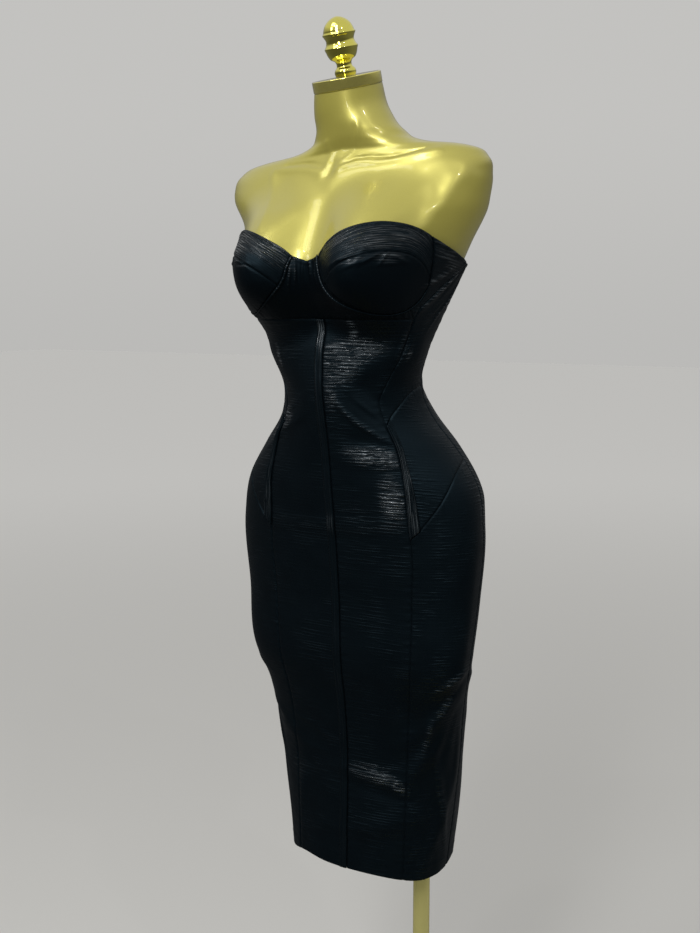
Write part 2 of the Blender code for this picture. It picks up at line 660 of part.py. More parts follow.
def build_form():
    rows = form_rows()
    steps = np.arange(FORM_COLUMNS) * 2 * math.pi / FORM_COLUMNS
    turns = np.degrees(steps - FORM_FRONT_SHARE * np.sin(steps))
    heights, turn_grid = np.meshgrid(rows, turns, indexing="ij")
    tuck = FORM_TUCK * (1.0 - smooth_step((heights - FORM_TUCK_TO) / FORM_TUCK_FADE))
    points = body_surface(heights, turn_grid) - body_normals(heights, turn_grid) * tuck[..., None]
    points[0, :, 2] = FORM_BOTTOM
    points = points.reshape(-1, 3)
    count = len(turns)
    faces = []
    for i in range(len(rows) - 1):
        for k in range(count):
            a = i * count + k
            b = i * count + (k + 1) % count
            faces.append((a, b, b + count, a + count))
    faces.append(tuple(reversed(range(count))))
    top = (len(rows) - 1) * count
    faces.append(tuple(top + k for k in range(count)))
    add_object("form_torso", points, faces, "gold_paint", FORM_SHARP)


def add_turned(name, profile, sides, finish, location, axis=(0.0, 0.0, 1.0)):
    """A turned piece: its (height, radius) profile, closed on the axis and spun round it."""
    outline = [(profile[0][0], 0.0)] + list(profile) + [(profile[-1][0], 0.0)]
    mesh = bmesh.new()
    corners = [mesh.verts.new((radius, 0.0, height)) for height, radius in outline]
    edges = [mesh.edges.new(pair) for pair in zip(corners[:-1], corners[1:])]
    bmesh.ops.spin(mesh, geom=corners + edges, cent=(0.0, 0.0, 0.0), axis=(0.0, 0.0, 1.0),
                   angle=2 * math.pi, steps=sides, use_merge=True)
    bmesh.ops.remove_doubles(mesh, verts=mesh.verts, dist=SAME_POINT)
    bmesh.ops.recalc_face_normals(mesh, faces=mesh.faces)
    data = bpy.data.meshes.new(name)
    mesh.to_mesh(data)
    mesh.free()
    data.materials.append(finish_material(finish))
    data.shade_smooth()
    data.set_sharp_from_angle(angle=math.radians(TURNED_SHARP))
    item = bpy.data.objects.new(name, data)
    item.location = location
    item.rotation_euler = Vector(axis).to_track_quat("Z", "Y").to_euler()
    bpy.context.scene.collection.objects.link(item)
    return item


def bevelled_disc(radius, thickness, bevel):
    return [(0.0, radius - bevel), (bevel, radius), (thickness - bevel, radius),
            (thickness, radius - bevel)]


def build_stand():
    upright = np.array([-math.tan(math.radians(NECK_LEAN)), -math.tan(math.radians(NECK_TILT)), 1.0])
    axis = upright / np.linalg.norm(upright)
    neck_top = np.array([BODY_X + neck_shift(FORM_TOP), BODY_Y + BODY[-1][4], FORM_TOP])
    cap_at = neck_top + axis * FIT_GAP
    finial_at = cap_at + axis * (CAP_THICKNESS + FIT_GAP)
    add_turned("neck_cap", bevelled_disc(CAP_RADIUS, CAP_THICKNESS, CAP_BEVEL), CAP_SIDES,
               "gold_chrome", tuple(cap_at), tuple(axis))
    add_turned("finial", FINIAL, FINIAL_SIDES, "gold_chrome", tuple(finial_at), tuple(axis))
    socket_bottom = FORM_BOTTOM - FIT_GAP - SOCKET_THICKNESS
    add_turned("pole_socket", bevelled_disc(SOCKET_RADIUS, SOCKET_THICKNESS, CAP_BEVEL), POLE_SIDES,
               "gold_chrome", (0.0, 0.0, socket_bottom))
    collar_bottom = BASE_THICKNESS + FIT_GAP
    pole_bottom = collar_bottom + COLLAR_HEIGHT + FIT_GAP
    pole_top = socket_bottom - FIT_GAP
    add_turned("base_collar", bevelled_disc(COLLAR_RADIUS, COLLAR_HEIGHT, CAP_BEVEL), POLE_SIDES,
               "gold_chrome", (0.0, 0.0, collar_bottom))
    add_turned("pole", [(0.0, POLE_RADIUS), (pole_top - pole_bottom, POLE_RADIUS)], POLE_SIDES,
               "gold_chrome", (0.0, 0.0, pole_bottom))
    add_turned("base_plate", bevelled_disc(BASE_RADIUS, BASE_THICKNESS, BASE_BEVEL), BASE_SIDES,
               "gold_chrome", (0.0, 0.0, 0.0))


clear_scene()
build_form()
build_stand()
build_dress()
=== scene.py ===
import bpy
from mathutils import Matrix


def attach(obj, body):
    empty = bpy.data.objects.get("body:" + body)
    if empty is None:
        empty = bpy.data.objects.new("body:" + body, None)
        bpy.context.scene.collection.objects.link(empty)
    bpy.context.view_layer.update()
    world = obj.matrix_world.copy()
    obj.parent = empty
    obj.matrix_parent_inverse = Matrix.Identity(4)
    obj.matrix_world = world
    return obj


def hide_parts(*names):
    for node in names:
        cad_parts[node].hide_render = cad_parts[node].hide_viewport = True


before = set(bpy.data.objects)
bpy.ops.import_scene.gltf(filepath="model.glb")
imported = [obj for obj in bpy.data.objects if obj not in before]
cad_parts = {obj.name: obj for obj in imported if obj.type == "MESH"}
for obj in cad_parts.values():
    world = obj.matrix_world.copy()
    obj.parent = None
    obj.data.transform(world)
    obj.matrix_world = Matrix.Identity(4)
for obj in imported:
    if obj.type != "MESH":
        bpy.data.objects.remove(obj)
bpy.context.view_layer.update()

import math
import bpy
import numpy as np
from mathutils import Vector

# Heights are above the floor, turns are degrees round the body from the centre front (-Y),
# positive towards the wearer's left (+X). The pole stands on the origin.

body = {
    "x": -0.078,
    "y": -0.004,
    # height, half width, front depth, back depth, centre y, squareness (2 is an ellipse)
    "sections": np.array([
        (0.472, 0.108, 0.062, 0.083, 0.004, 2.5),   # hem
        (0.56, 0.1175, 0.06, 0.087, 0.004, 2.5),
        (0.64, 0.1265, 0.0545, 0.091, -0.002, 2.4),
        (0.712, 0.139, 0.046, 0.095, -0.019, 2.35),
        (0.748, 0.15, 0.039, 0.097, -0.033, 2.3),  # the form ends here
        (0.84, 0.1605, 0.046, 0.102, -0.031, 2.25),
        (0.93, 0.166, 0.057, 0.104, -0.03, 2.2),  # hips
        (0.985, 0.1565, 0.0705, 0.1, -0.025, 2.2),
        (1.03, 0.1285, 0.0785, 0.088, -0.023, 2.15),
        (1.07, 0.098, 0.082, 0.078, -0.028, 2.1),
        (1.105, 0.0865, 0.0715, 0.072, -0.044, 2.1),  # waist
        (1.15, 0.1015, 0.0545, 0.078, -0.06, 2.15),
        (1.19, 0.1145, 0.0525, 0.084, -0.052, 2.25),  # under the bust
        (1.225, 0.128, 0.062, 0.088, -0.044, 2.3),
        (1.26, 0.1425, 0.074, 0.09, -0.04, 2.4),  # underarm
        (1.3, 0.159, 0.082, 0.087, -0.032, 2.35),
        (1.33, 0.17, 0.081, 0.082, -0.026, 2.3),
        (1.352, 0.1775, 0.075, 0.076, -0.022, 2.2),  # shoulder caps
        (1.372, 0.1725, 0.068, 0.066, -0.02, 2.1),
        (1.384, 0.154, 0.062, 0.06, -0.021, 2.05),
        (1.39, 0.129, 0.057, 0.056, -0.025, 2),
        (1.395, 0.098, 0.053, 0.053, -0.031, 2),
        (1.402, 0.072, 0.05, 0.051, -0.037, 2),
        (1.414, 0.056, 0.046, 0.048, -0.044, 2),
        (1.434, 0.047, 0.0425, 0.044, -0.05, 2),
        (1.4637, 0.0412, 0.0398, 0.0398, -0.0555, 2),  # top of the neck
    ]),
    # side offset, height, reach up, reach down, reach sideways, depth, facing (1 front, -1 back)
    "mounds": [
        (0.068, 1.235, 0.137, 0.084, 0.102, 0.078, 1),
        (0.044, 0.905, 0.125, 0.115, 0.105, 0.021, -1),
        (0, 0.765, 0.11, 0.12, 0.115, 0.011, -1),
    ],
    "facingFade": 0.55,
    # side (1 the wearer's left), rise, extra rise beside the neck, reach outwards, height where
    # each starts and height where it is full
    "shoulders": [
        (1, 0.007, -0.006, -0.0075, 1.315, 1.359),
        (-1, -0.005, 0, -0.008, 1.255, 1.285),
        (-1, 0.002, -0.005, 0.013, 1.31, 1.34),
    ],
    "shoulderSoftness": 0.05,
    "besideNeck": 0.064,
    "reachFrom": 0.09,
    "reachOver": 0.106,
    "poseTo": 1.405,
    "poseFade": 0.03,
    # the neck's foot is shifted to the wearer's left; its top tilts forward and to the right
    "neckShift": (0.0106, 1.4065, 0.0234),
    "neckTilt": (15, 1.41),
    "neckLean": (3.3, 1.4),
    "stepHeight": 0.0008,      # small steps that the slope is taken over
    "stepTurn": 0.6,
    "turnRadius": 0.13,        # turns are measured as lengths at this radius
}
body["top"] = body["sections"][-1, 0]


def throughRows(heights, values, at):
    # cubic pieces through a table's column, with averaged slopes at its rows
    gaps = np.diff(heights)
    slopes = np.diff(values) / gaps
    tangents = np.empty_like(values)
    tangents[1:-1] = (slopes[:-1] * gaps[1:] + slopes[1:] * gaps[:-1]) / (gaps[1:] + gaps[:-1])
    tangents[0], tangents[-1] = slopes[0], slopes[-1]
    i = np.clip(np.searchsorted(heights, at, side="right") - 1, 0, len(heights) - 2)
    t = (at - heights[i]) / gaps[i]
    return ((1 + 2 * t) * (1 - t) ** 2 * values[i] + t * (1 - t) ** 2 * gaps[i] * tangents[i]
            + t * t * (3 - 2 * t) * values[i + 1] + t * t * (t - 1) * gaps[i] * tangents[i + 1])


def sectionAt(heights, *columns):
    # columns of the body's sections, smooth between their rows
    table = body["sections"]
    return [throughRows(table[:, 0], table[:, k], heights) for k in columns]


def runningLength(steps, axis=0):
    # steps added up from the start, which is at nought
    start = np.zeros_like(np.take(steps, [0], axis=axis))
    return np.concatenate([start, np.cumsum(steps, axis=axis)], axis=axis)


def signedPower(value, power):
    # the size's power, with the value's own sign
    return np.sign(value) * np.abs(value) ** power


def smoothStep(value):
    # nought to one with level ends: t^2 (3 - 2t)
    t = np.clip(value, 0, 1)
    return t * t * (3 - 2 * t)


def bell(distance, width):
    # exp(-(distance / width)^2)
    return np.exp(-(distance / width) ** 2)


def turnLength(turns):
    # degrees as a length on a circle of one radius
    return np.radians(turns) * body["turnRadius"]


def besideTurn(turns, turn):
    # length sideways from a turn, the short way round
    return turnLength((turns - turn + 180) % 360 - 180)


def neckSlope(lean, heights):
    # slope of the level sections: none at the start height, full at the top
    degrees, start = lean
    return math.tan(math.radians(degrees)) * smoothStep((heights - start) / (body["top"] - start))


def neckShift(heights):
    # sideways shift: a bell over the height
    amount, middle, spread = body["neckShift"]
    return amount * bell(heights - middle, spread)


def shoulderPose(heights, x):
    # each shoulder's lift, rise * tanh(out) with a hump beside the neck, and its reach outwards
    lift, spread = np.zeros_like(x), np.zeros_like(x)
    for side, rise, beside, reach, start, full in body["shoulders"]:
        out = np.clip(x * side, 0, None)
        grown = smoothStep((heights - start) / (full - start))
        grown = grown * (1 - smoothStep((heights - body["poseTo"]) / body["poseFade"]))
        hump = out / body["besideNeck"] * np.exp(0.5 - 0.5 * (out / body["besideNeck"]) ** 2)
        lift = lift + grown * (rise * np.tanh(out / body["shoulderSoftness"]) + beside * hump)
        spread = spread + side * reach * grown * smoothStep((out - body["reachFrom"]) / body["reachOver"])
    return lift, spread


def bodySurface(heights, turns):
    # superellipse section at each height, with rounded mounds (half a cosine squared) pushed out,
    # then the shoulders' and neck's pose
    halfWidth, front, back, centreY, squareness = sectionAt(heights, 1, 2, 3, 4, 5)
    sine, cosine = np.sin(np.radians(turns)), np.cos(np.radians(turns))
    x = halfWidth * signedPower(sine, 2 / squareness)
    y = centreY - np.where(cosine > 0, front, back) * signedPower(cosine, 2 / squareness)
    push = np.zeros_like(x)
    for offset, level, up, down, sideways, size, facing in body["mounds"]:
        fade = smoothStep(facing * cosine / body["facingFade"])
        rise = (heights - level) / np.where(heights > level, up, down)
        for side in (-1, 1):
            away = np.clip(np.hypot((x * side - offset) / sideways, rise), 0, 1)
            push = push - facing * size * fade * np.cos(away * math.pi / 2) ** 2
    lift, reach = shoulderPose(heights, x)
    z = (heights + lift + neckSlope(body["neckTilt"], heights) * (y - centreY)
         + neckSlope(body["neckLean"], heights) * x)
    return np.stack([x + reach + neckShift(heights) + body["x"], y + push + body["y"], z], axis=-1)


def unit(vectors):
    # each vector over its own length
    return vectors / np.linalg.norm(vectors, axis=-1, keepdims=True)


def bodyNormals(heights, turns):
    # outward normal: the sideways step crossed with the upward step
    h, t = body["stepHeight"], body["stepTurn"]
    upward = bodySurface(heights + h, turns) - bodySurface(heights - h, turns)
    sideways = bodySurface(heights, turns + t) - bodySurface(heights, turns - t)
    return unit(np.cross(sideways, upward))


def standOff(heights, turns, out):
    # the body's surface moved out along its normals
    return bodySurface(heights, turns) + bodyNormals(heights, turns) * out[..., None]


def ridges(heights, turns, table, sharpness=1):
    # sum of soft ridges: depth * exp(-((across / half width)^2 + (along / half length)^2)^sharpness),
    # along a line at a slant that bends by bend * along^2; a negative depth is a trough
    total = np.zeros_like(heights)
    for level, turn, halfLength, halfWidth, depth, slant, bend in table:
        side, rise, angle = besideTurn(turns, turn), heights - level, math.radians(slant)
        along = side * math.cos(angle) + rise * math.sin(angle)
        across = rise * math.cos(angle) - side * math.sin(angle) - bend * along ** 2
        total += depth * np.exp(-((across / halfWidth) ** 2 + (along / halfLength) ** 2) ** sharpness)
    return total


# the cloth's lie: large folds as in the solids, then the finer creases
# each row: height, turn, half length, half width, depth, slant from level, bend
folds = [
    (0.69, 62, 0.07, 0.014, 0.0032, 28, 0), (0.64, 55, 0.08, 0.015, 0.003, 38, 0),
    (0.655, -52, 0.06, 0.014, 0.0026, -24, 0), (0.56, 78, 0.085, 0.016, 0.0028, 62, 0),
    (0.545, 28, 0.06, 0.018, 0.002, 10, 0), (0.65, 150, 0.08, 0.016, 0.003, -20, 0),
    (0.6, -140, 0.085, 0.016, 0.0028, 24, 0), (1.075, 22, 0.055, 0.013, 0.0016, -34, 0),
    (1.065, -30, 0.05, 0.013, 0.0016, 30, 0), (1.11, 150, 0.06, 0.013, 0.0018, 8, 0),
    (1.095, -150, 0.06, 0.013, 0.0018, -10, 0),
]
creases = [
    # stomach, waist and belly
    (1.125, 29, 0.05, 0.016, 0.0018, 26, 0), (1.103, 37, 0.036, 0.013, -0.0026, -30, 0),
    (1.069, 21, 0.048, 0.004, 0.0018, -38, 1.2), (1.083, 33, 0.022, 0.0035, 0.0011, -36, -1.5),
    (1.045, 20, 0.04, 0.007, -0.001, -12, 0), (1.02, 22, 0.04, 0.01, 0.0019, 0, 0.6),
    (1.076, -38, 0.034, 0.005, 0.0011, 28, -1), (1.062, -27, 0.026, 0.004, 0.0008, 22, 2),
    (1.04, -44, 0.03, 0.006, 0.0009, 40, 0), (1.1, 100, 0.03, 0.005, 0.0008, 12, 1),
    (1.088, 104, 0.026, 0.004, 0.0007, -8, -1), (1.114, 124, 0.03, 0.005, 0.0009, 6, 1.5),
    (1.126, 138, 0.032, 0.005, 0.0007, 14, 0), (1.092, 132, 0.036, 0.005, 0.0009, -5, -1),
    (1.104, -118, 0.032, 0.005, 0.0009, -9, 1), (1.12, -136, 0.036, 0.005, 0.0008, 4, -1),
    (1.084, -128, 0.034, 0.005, 0.0009, 10, 0), (1.108, -162, 0.03, 0.005, 0.0007, -4, 2),
    (1.098, 166, 0.032, 0.005, 0.0008, 3, -2),
    # hips
    (0.936, -6, 0.085, 0.009, 0.0009, 3, 0), (0.918, -10, 0.07, 0.006, -0.0004, 2, 0.4),
    (0.962, 118, 0.05, 0.01, 0.0008, -22, 0.8), (0.955, -120, 0.055, 0.01, 0.0008, 20, -0.8),
    # below the form's end, where the skirt hangs free
    (0.747, 75, 0.044, 0.006, 0.0024, 20, -1), (0.733, 80, 0.04, 0.006, -0.0014, 26, 0),
    (0.712, 70, 0.03, 0.008, 0.0026, 42, 0), (0.668, 53.5, 0.032, 0.008, 0.0026, 74, 0),
    (0.69, 40, 0.045, 0.015, -0.0034, -65, 0), (0.668, 74, 0.04, 0.012, -0.0022, 60, 0),
    (0.64, 90, 0.05, 0.006, 0.0018, 86, 0), (0.575, 73, 0.08, 0.01, 0.0026, -66, 0),
    (0.56, 60, 0.07, 0.012, -0.0018, -72, 0), (0.604, 15, 0.036, 0.0085, 0.0028, -10, -2),
    (0.583, 20, 0.04, 0.008, -0.0012, -8, 0), (0.664, -27, 0.03, 0.003, 0.0007, -8, 0),
    (0.65, -11, 0.022, 0.0025, 0.0006, -20, 2), (0.628, -20, 0.03, 0.004, 0.0005, -6, 0),
    (0.66, -63, 0.026, 0.006, -0.0026, -14, 0), (0.64, -72, 0.05, 0.008, 0.002, -58, 1),
    (0.592, -66, 0.07, 0.009, 0.0015, -78, 0), (0.556, -34, 0.07, 0.012, 0.0013, 80, 0),
    (0.53, 8, 0.05, 0.01, 0.0009, 14, 0), (0.735, -78, 0.04, 0.006, 0.0013, -16, 1),
    (0.715, -92, 0.04, 0.006, 0.0012, -26, 0), (0.742, 112, 0.045, 0.006, 0.0013, -12, 0.8),
    (0.715, 128, 0.055, 0.007, 0.0016, -24, 0), (0.684, 140, 0.06, 0.008, -0.0014, -30, 0.6),
    (0.742, -118, 0.05, 0.006, 0.0013, 12, -0.8), (0.7, -128, 0.06, 0.008, 0.0016, 22, 0),
    (0.668, -146, 0.05, 0.007, -0.0012, 30, 0), (0.56, 118, 0.08, 0.012, 0.002, 84, 0),
    (0.548, 146, 0.07, 0.012, 0.0016, -80, 0), (0.565, -116, 0.08, 0.012, 0.0019, -84, 0),
    (0.54, -152, 0.07, 0.012, 0.0015, 78, 0),
    # under the cups and at the sides of the bodice
    (1.206, -63, 0.012, 0.0022, 0.0009, 30, 4), (1.2, -58, 0.013, 0.002, 0.0009, 18, 0),
    (1.195, -64, 0.014, 0.0022, 0.0008, -4, -4), (1.214, 96, 0.022, 0.003, 0.001, 48, 3),
    (1.2, 92, 0.024, 0.0035, 0.0008, 58, 0), (1.16, 60, 0.016, 0.0035, 0.0014, 74, 0),
    (1.154, 68, 0.015, 0.0025, 0.0012, 66, 5), (1.214, -98, 0.022, 0.003, 0.001, -46, -3),
    (1.19, -92, 0.024, 0.0035, 0.0008, -60, 0), (1.224, 83, 0.044, 0.0034, 0.0015, 42, 0),
    (1.238, 77, 0.022, 0.0026, 0.0011, 32, 1), (1.216, 98, 0.032, 0.003, 0.0013, 54, 1),
    (1.229, 90, 0.034, 0.003, -0.0012, 44, 0), (1.206, 88, 0.022, 0.0028, 0.0009, 36, 0),
    (1.228, -98, 0.026, 0.003, 0.0011, -24, -2), (1.242, -92, 0.024, 0.0022, 0.0008, -12, 0),
    # gathers in the gore between the cups
    (1.244, -1.6, 0.014, 0.0012, 0.0022, 86, 0), (1.247, 1.4, 0.012, 0.0011, 0.0023, 94, 6),
    (1.241, 4.2, 0.015, 0.0013, 0.0022, 100, -6), (1.24, -4.6, 0.015, 0.0013, 0.0022, 80, 6),
    (1.234, -7.6, 0.015, 0.0014, 0.0019, 72, 0), (1.232, 7.4, 0.014, 0.0013, 0.0019, 108, 0),
    # small crinkles under the cup's cross seam, and along the back's top
    (1.257, 25, 0.014, 0.0018, 0.0022, 18, -3), (1.257, 36, 0.01, 0.0016, 0.0021, 40, 0),
    (1.259, 42, 0.007, 0.0015, 0.0021, 80, 4), (1.257, 49, 0.011, 0.0015, 0.0021, -20, 0),
    (1.251, 30, 0.012, 0.0015, 0.0014, 26, 0), (1.252, 46, 0.012, 0.0016, 0.0014, 4, -4),
    (1.256, -28, 0.016, 0.0018, 0.0014, -14, 3), (1.254, -44, 0.014, 0.0016, 0.0013, 6, 0),
    (1.222, 140, 0.04, 0.0045, 0.0008, -4, 0.5), (1.216, -146, 0.04, 0.0045, 0.0008, 5, -0.5),
    (1.18, 160, 0.05, 0.006, 0.0007, 2, 0), (1.172, -158, 0.05, 0.006, 0.0007, -3, 0),
    # the rolled corner under each arm
    (1.249, 102, 0.008, 0.005, 0.0016, 0, 0), (1.249, -102, 0.008, 0.005, 0.0016, 0, 0),
]
# where the cloth is slack its crosswise rib stands up and catches the light; there its colour is also
# lightened as a painted highlight
slackSpots = [
    # stomach, on the wearer's left of the centre seam
    (1.153, 22, 0.062, 0.016, 1, 4, 0), (1.134, 12, 0.04, 0.022, 1, 0, 0),
    (1.18, 21, 0.01, 0.016, 1, 0, 0), (1.098, 6, 0.012, 0.02, 0.6, 0, 0),
    (1.07, 21, 0.052, 0.005, 0.4, -38, 1.5), (1.024, 25, 0.04, 0.013, 1, -4, 0),
    (0.974, 28, 0.016, 0.03, 0.9, 0, 0), (0.95, 16, 0.045, 0.014, 0.18, 0, 0),
    (0.934, 14, 0.06, 0.006, 0.25, 3, 0), (0.936, -16, 0.045, 0.007, 0.25, 3, 0),
    (1.145, -44, 0.007, 0.014, 0.9, 0, 0), (1.066, -37, 0.016, 0.014, 0.9, 20, 0),
    (1.052, -46, 0.02, 0.01, 0.6, 40, 0), (1.075, 108, 0.014, 0.026, 0.8, 0, 0),
    (0.965, 97, 0.012, 0.055, 0.45, 0, 0), (1.149, 71, 0.009, 0.007, 0.9, 60, 0),
    (1.2, -61, 0.014, 0.01, 0.7, 10, 0), (1.158, 62, 0.01, 0.02, 0.6, 0, 0),
    (0.608, 15, 0.036, 0.013, 0.8, -6, -1), (0.594, 33, 0.016, 0.008, 0.7, -20, 0),
    (0.748, 72, 0.044, 0.005, 0.5, 20, 0), (0.714, 68, 0.032, 0.008, 0.45, 44, 0),
    (0.668, 52.5, 0.03, 0.007, 0.45, 74, 0), (0.575, 72, 0.07, 0.008, 0.26, -66, 0),
    (0.594, -34, 0.024, 0.014, 0.22, 10, 0), (1.104, -140, 0.09, 0.026, 0.8, 0, 0),
    (1.104, 150, 0.08, 0.026, 0.8, 0, 0), (0.7, 140, 0.08, 0.02, 0.4, -24, 0),
    (0.69, -140, 0.08, 0.02, 0.4, 24, 0),
    # cups, and the drag lines below the underarm
    (1.28, 30, 0.08, 0.016, 0.75, 0, 0), (1.28, -30, 0.08, 0.016, 0.8, 0, 0),
    (1.262, -10, 0.012, 0.022, 0.6, 40, 0), (1.226, 83, 0.045, 0.004, 0.75, 40, 0),
    (1.238, 76, 0.022, 0.004, 0.65, 30, 0), (1.216, 98, 0.03, 0.004, 0.8, 52, 0),
    (1.262, 76, 0.03, 0.01, 0.6, -24, 0),
    # crumpled upper edge of the lower cups, and the gathers between them
    (1.256, 27, 0.016, 0.006, 0.75, 14, 0), (1.258, 44, 0.018, 0.006, 0.7, 0, 0),
    (1.254, -28, 0.016, 0.006, 0.7, -14, 0), (1.247, 1.4, 0.012, 0.0012, 0.6, 94, 6),
    (1.241, 4.2, 0.014, 0.0012, 0.6, 100, -6), (1.24, -4.6, 0.014, 0.0012, 0.6, 80, 6),
    (1.234, -7.6, 0.014, 0.0012, 0.6, 72, 0),
]

cloth = {
    "wall": 0.0014,
    "clear": 0.0011,           # air between the form and the cloth
    "rowStep": 0.0022,
    "columnStep": 0.0028,
    "edgeLines": np.array([0, 0.0005, 0.001, 0.0016, 0.0023, 0.0032, 0.0044]),
    "seamDepth": 0.0009,
    "seamWidth": 0.0017,
    "seamUneven": 0.25,
    "puckerDepth": 0.00028,
    "puckerReach": 0.003,
    "neckPucker": 0.6,         # share of the pucker that the neckline has
    "bandWidth": 0.004,        # turned edge along the neckline
    "bandLift": 0.00045,
    "bandStep": 0.0006,
    "edgeRound": 0.00045,
    "hemBand": 0.02,
    "hemLift": 0.00018,
    "hemShiftReach": 0.06,
    # the hem's rises: turn, half width, height
    "hemShifts": [(-34, 0.04, 0.005), (104, 0.03, 0.006), (52, 0.06, -0.0035), (160, 0.05, 0.003),
                  (-150, 0.06, 0.002)],
    # uneven waves: how often, size, share of the seed, start
    "waves": [(571, 1, 1, 0), (829, 0.7, 2.3, 1), (367, 0.5, 4.1, 0)],
    "waveScale": 1.6,
    "stretch": 1.06,           # worn width over cut width
    "patternShift": 0.37,      # keeps the two sides' patterns unlike
}

seams = {
    "princessSkirt": [(0.472, 40.5), (0.524, 38.5), (0.606, 37), (0.702, 36.5), (0.776, 35.5), (0.849, 35),
        (0.899, 35), (0.925, 34.5)],
    "princessHip": [(0.925, 34.5), (0.969, 34.5), (0.999, 36.5), (1.03, 40), (1.06, 42)],
    "princessWaist": [(1.06, 42), (1.09, 45), (1.112, 54), (1.141, 61.5), (1.172, 65), (1.19, 67.5)],
    "princessBust": [(1.19, 67.5), (1.203, 71), (1.214, 76), (1.229, 82), (1.24, 90), (1.256, 102)],
    "sideSkirt": [(0.472, 92), (0.6, 95), (0.75, 96), (0.93, 97), (1.017, 95)],
    "sideHip": [(1.017, 95), (1.05, 92.5), (1.083, 95), (1.109, 104)],
    "sideBodice": [(1.109, 104), (1.15, 107), (1.205, 109), (1.256, 110)],
    "lowerDiagonal": [(0.925, 34.5), (0.938, 41), (0.95, 46), (0.967, 53.5), (0.987, 63.5), (1.003, 75),
        (1.017, 95)],
    "upperDiagonal": [(1.06, 42), (1.071, 48.5), (1.085, 61), (1.1, 79), (1.109, 104)],
    "backTop": [(1.256, 110), (1.25, 130), (1.243, 155), (1.24, 180)],
    "cupInner": [(1.262, 5), (1.25, 7), (1.238, 9), (1.228, 12)],
    "cupBottom": [(1.228, 12), (1.218, 17), (1.209, 23.5), (1.203, 30), (1.198, 38), (1.196, 47),
        (1.197, 56), (1.202, 64), (1.212, 69.5), (1.225, 71.5), (1.238, 70.5)],
    "cupOuter": [(1.238, 70.5), (1.254, 67.5), (1.269, 63.5), (1.283, 58.5)],
    "cupSeam": [(1.228, 12), (1.24, 16), (1.251, 22), (1.259, 29), (1.264, 37), (1.265, 45), (1.262, 53),
        (1.253, 62), (1.238, 70.5)],
    "cupTop": [(1.262, 5), (1.274, 9), (1.286, 15.5), (1.294, 23), (1.298, 31), (1.297, 39.5),
        (1.292, 48.5), (1.283, 58.5)],
    "yokeTop": [(1.283, 58.5), (1.274, 70.5), (1.266, 84), (1.256, 102)],
}
hemHeight = 0.472
underbustHeight = 1.190
goreTopHeight = 1.256
backTopHeight = 1.240
cupCentre = np.array([1.229, 42.0])
seamSamples = 120


def metricReach(line):
    # distance along a line of heights and turns
    steps = np.diff(np.stack([line[:, 0], turnLength(line[:, 1])], axis=-1), axis=0)
    return runningLength(np.linalg.norm(steps, axis=1))


def throughPoints(table, reach, count):
    # smooth curve through a table's rows, evenly spaced by their reach
    at = np.linspace(0, reach[-1], count)
    return np.stack([throughRows(reach, table[:, k], at) for k in range(2)], axis=-1)


def seamLine(*names):
    # smooth curve through each named seam's points, put end to end
    tables = [np.array(seams[name], float) for name in names]
    pieces = [throughPoints(table, metricReach(table), seamSamples) for table in tables]
    return np.concatenate([pieces[0]] + [piece[1:] for piece in pieces[1:]])


def atShares(line, shares):
    # the line's height and turn at shares of its length
    reach = metricReach(line)
    return np.stack([np.interp(np.asarray(shares) * reach[-1], reach, line[:, k]) for k in range(2)], axis=-1)


def spaced(length, step, closeStart=True, closeEnd=True):
    # shares of a length, a step apart, with closer lines beside an edge
    near = cloth["edgeLines"]
    first = near if closeStart else near[:1]
    last = length - (near[::-1] if closeEnd else near[:1])
    count = max(2, int(math.ceil((last[0] - first[-1]) / step)) + 1)
    middle = np.linspace(first[-1], last[0], count)
    return np.concatenate([first[:-1], middle, last[1:]]) / length


def patch(bottom, top, left, right, across, up):
    # the surface between four edge curves: ruled both ways, less the corners' own
    u, v = across[None, :, None], up[:, None, None]
    corners = ((1 - u) * (1 - v) * bottom[0] + u * (1 - v) * bottom[-1]
               + (1 - u) * v * top[0] + u * v * top[-1])
    return (1 - v) * bottom[None] + v * top[None] + (1 - u) * left[:, None] + u * right[:, None] - corners


def reachFrom(points, axis):
    # every point's distance from the grid's first line, along the grid's own lines
    return runningLength(np.linalg.norm(np.diff(points, axis=axis), axis=2), axis)


def wander(s, seed):
    # uneven waves: three sines of unlike lengths
    return sum(size * np.sin(s * often + turned * seed + late)
               for often, size, turned, late in cloth["waves"]) / cloth["waveScale"]


def hemShift(heights, turns):
    # the hem rides a little higher at some turns, fading out above it
    rises = sum(rise * bell(besideTurn(turns, turn), halfWidth)
                for turn, halfWidth, rise in cloth["hemShifts"])
    return rises * (1 - smoothStep((heights - hemHeight) / cloth["hemShiftReach"]))


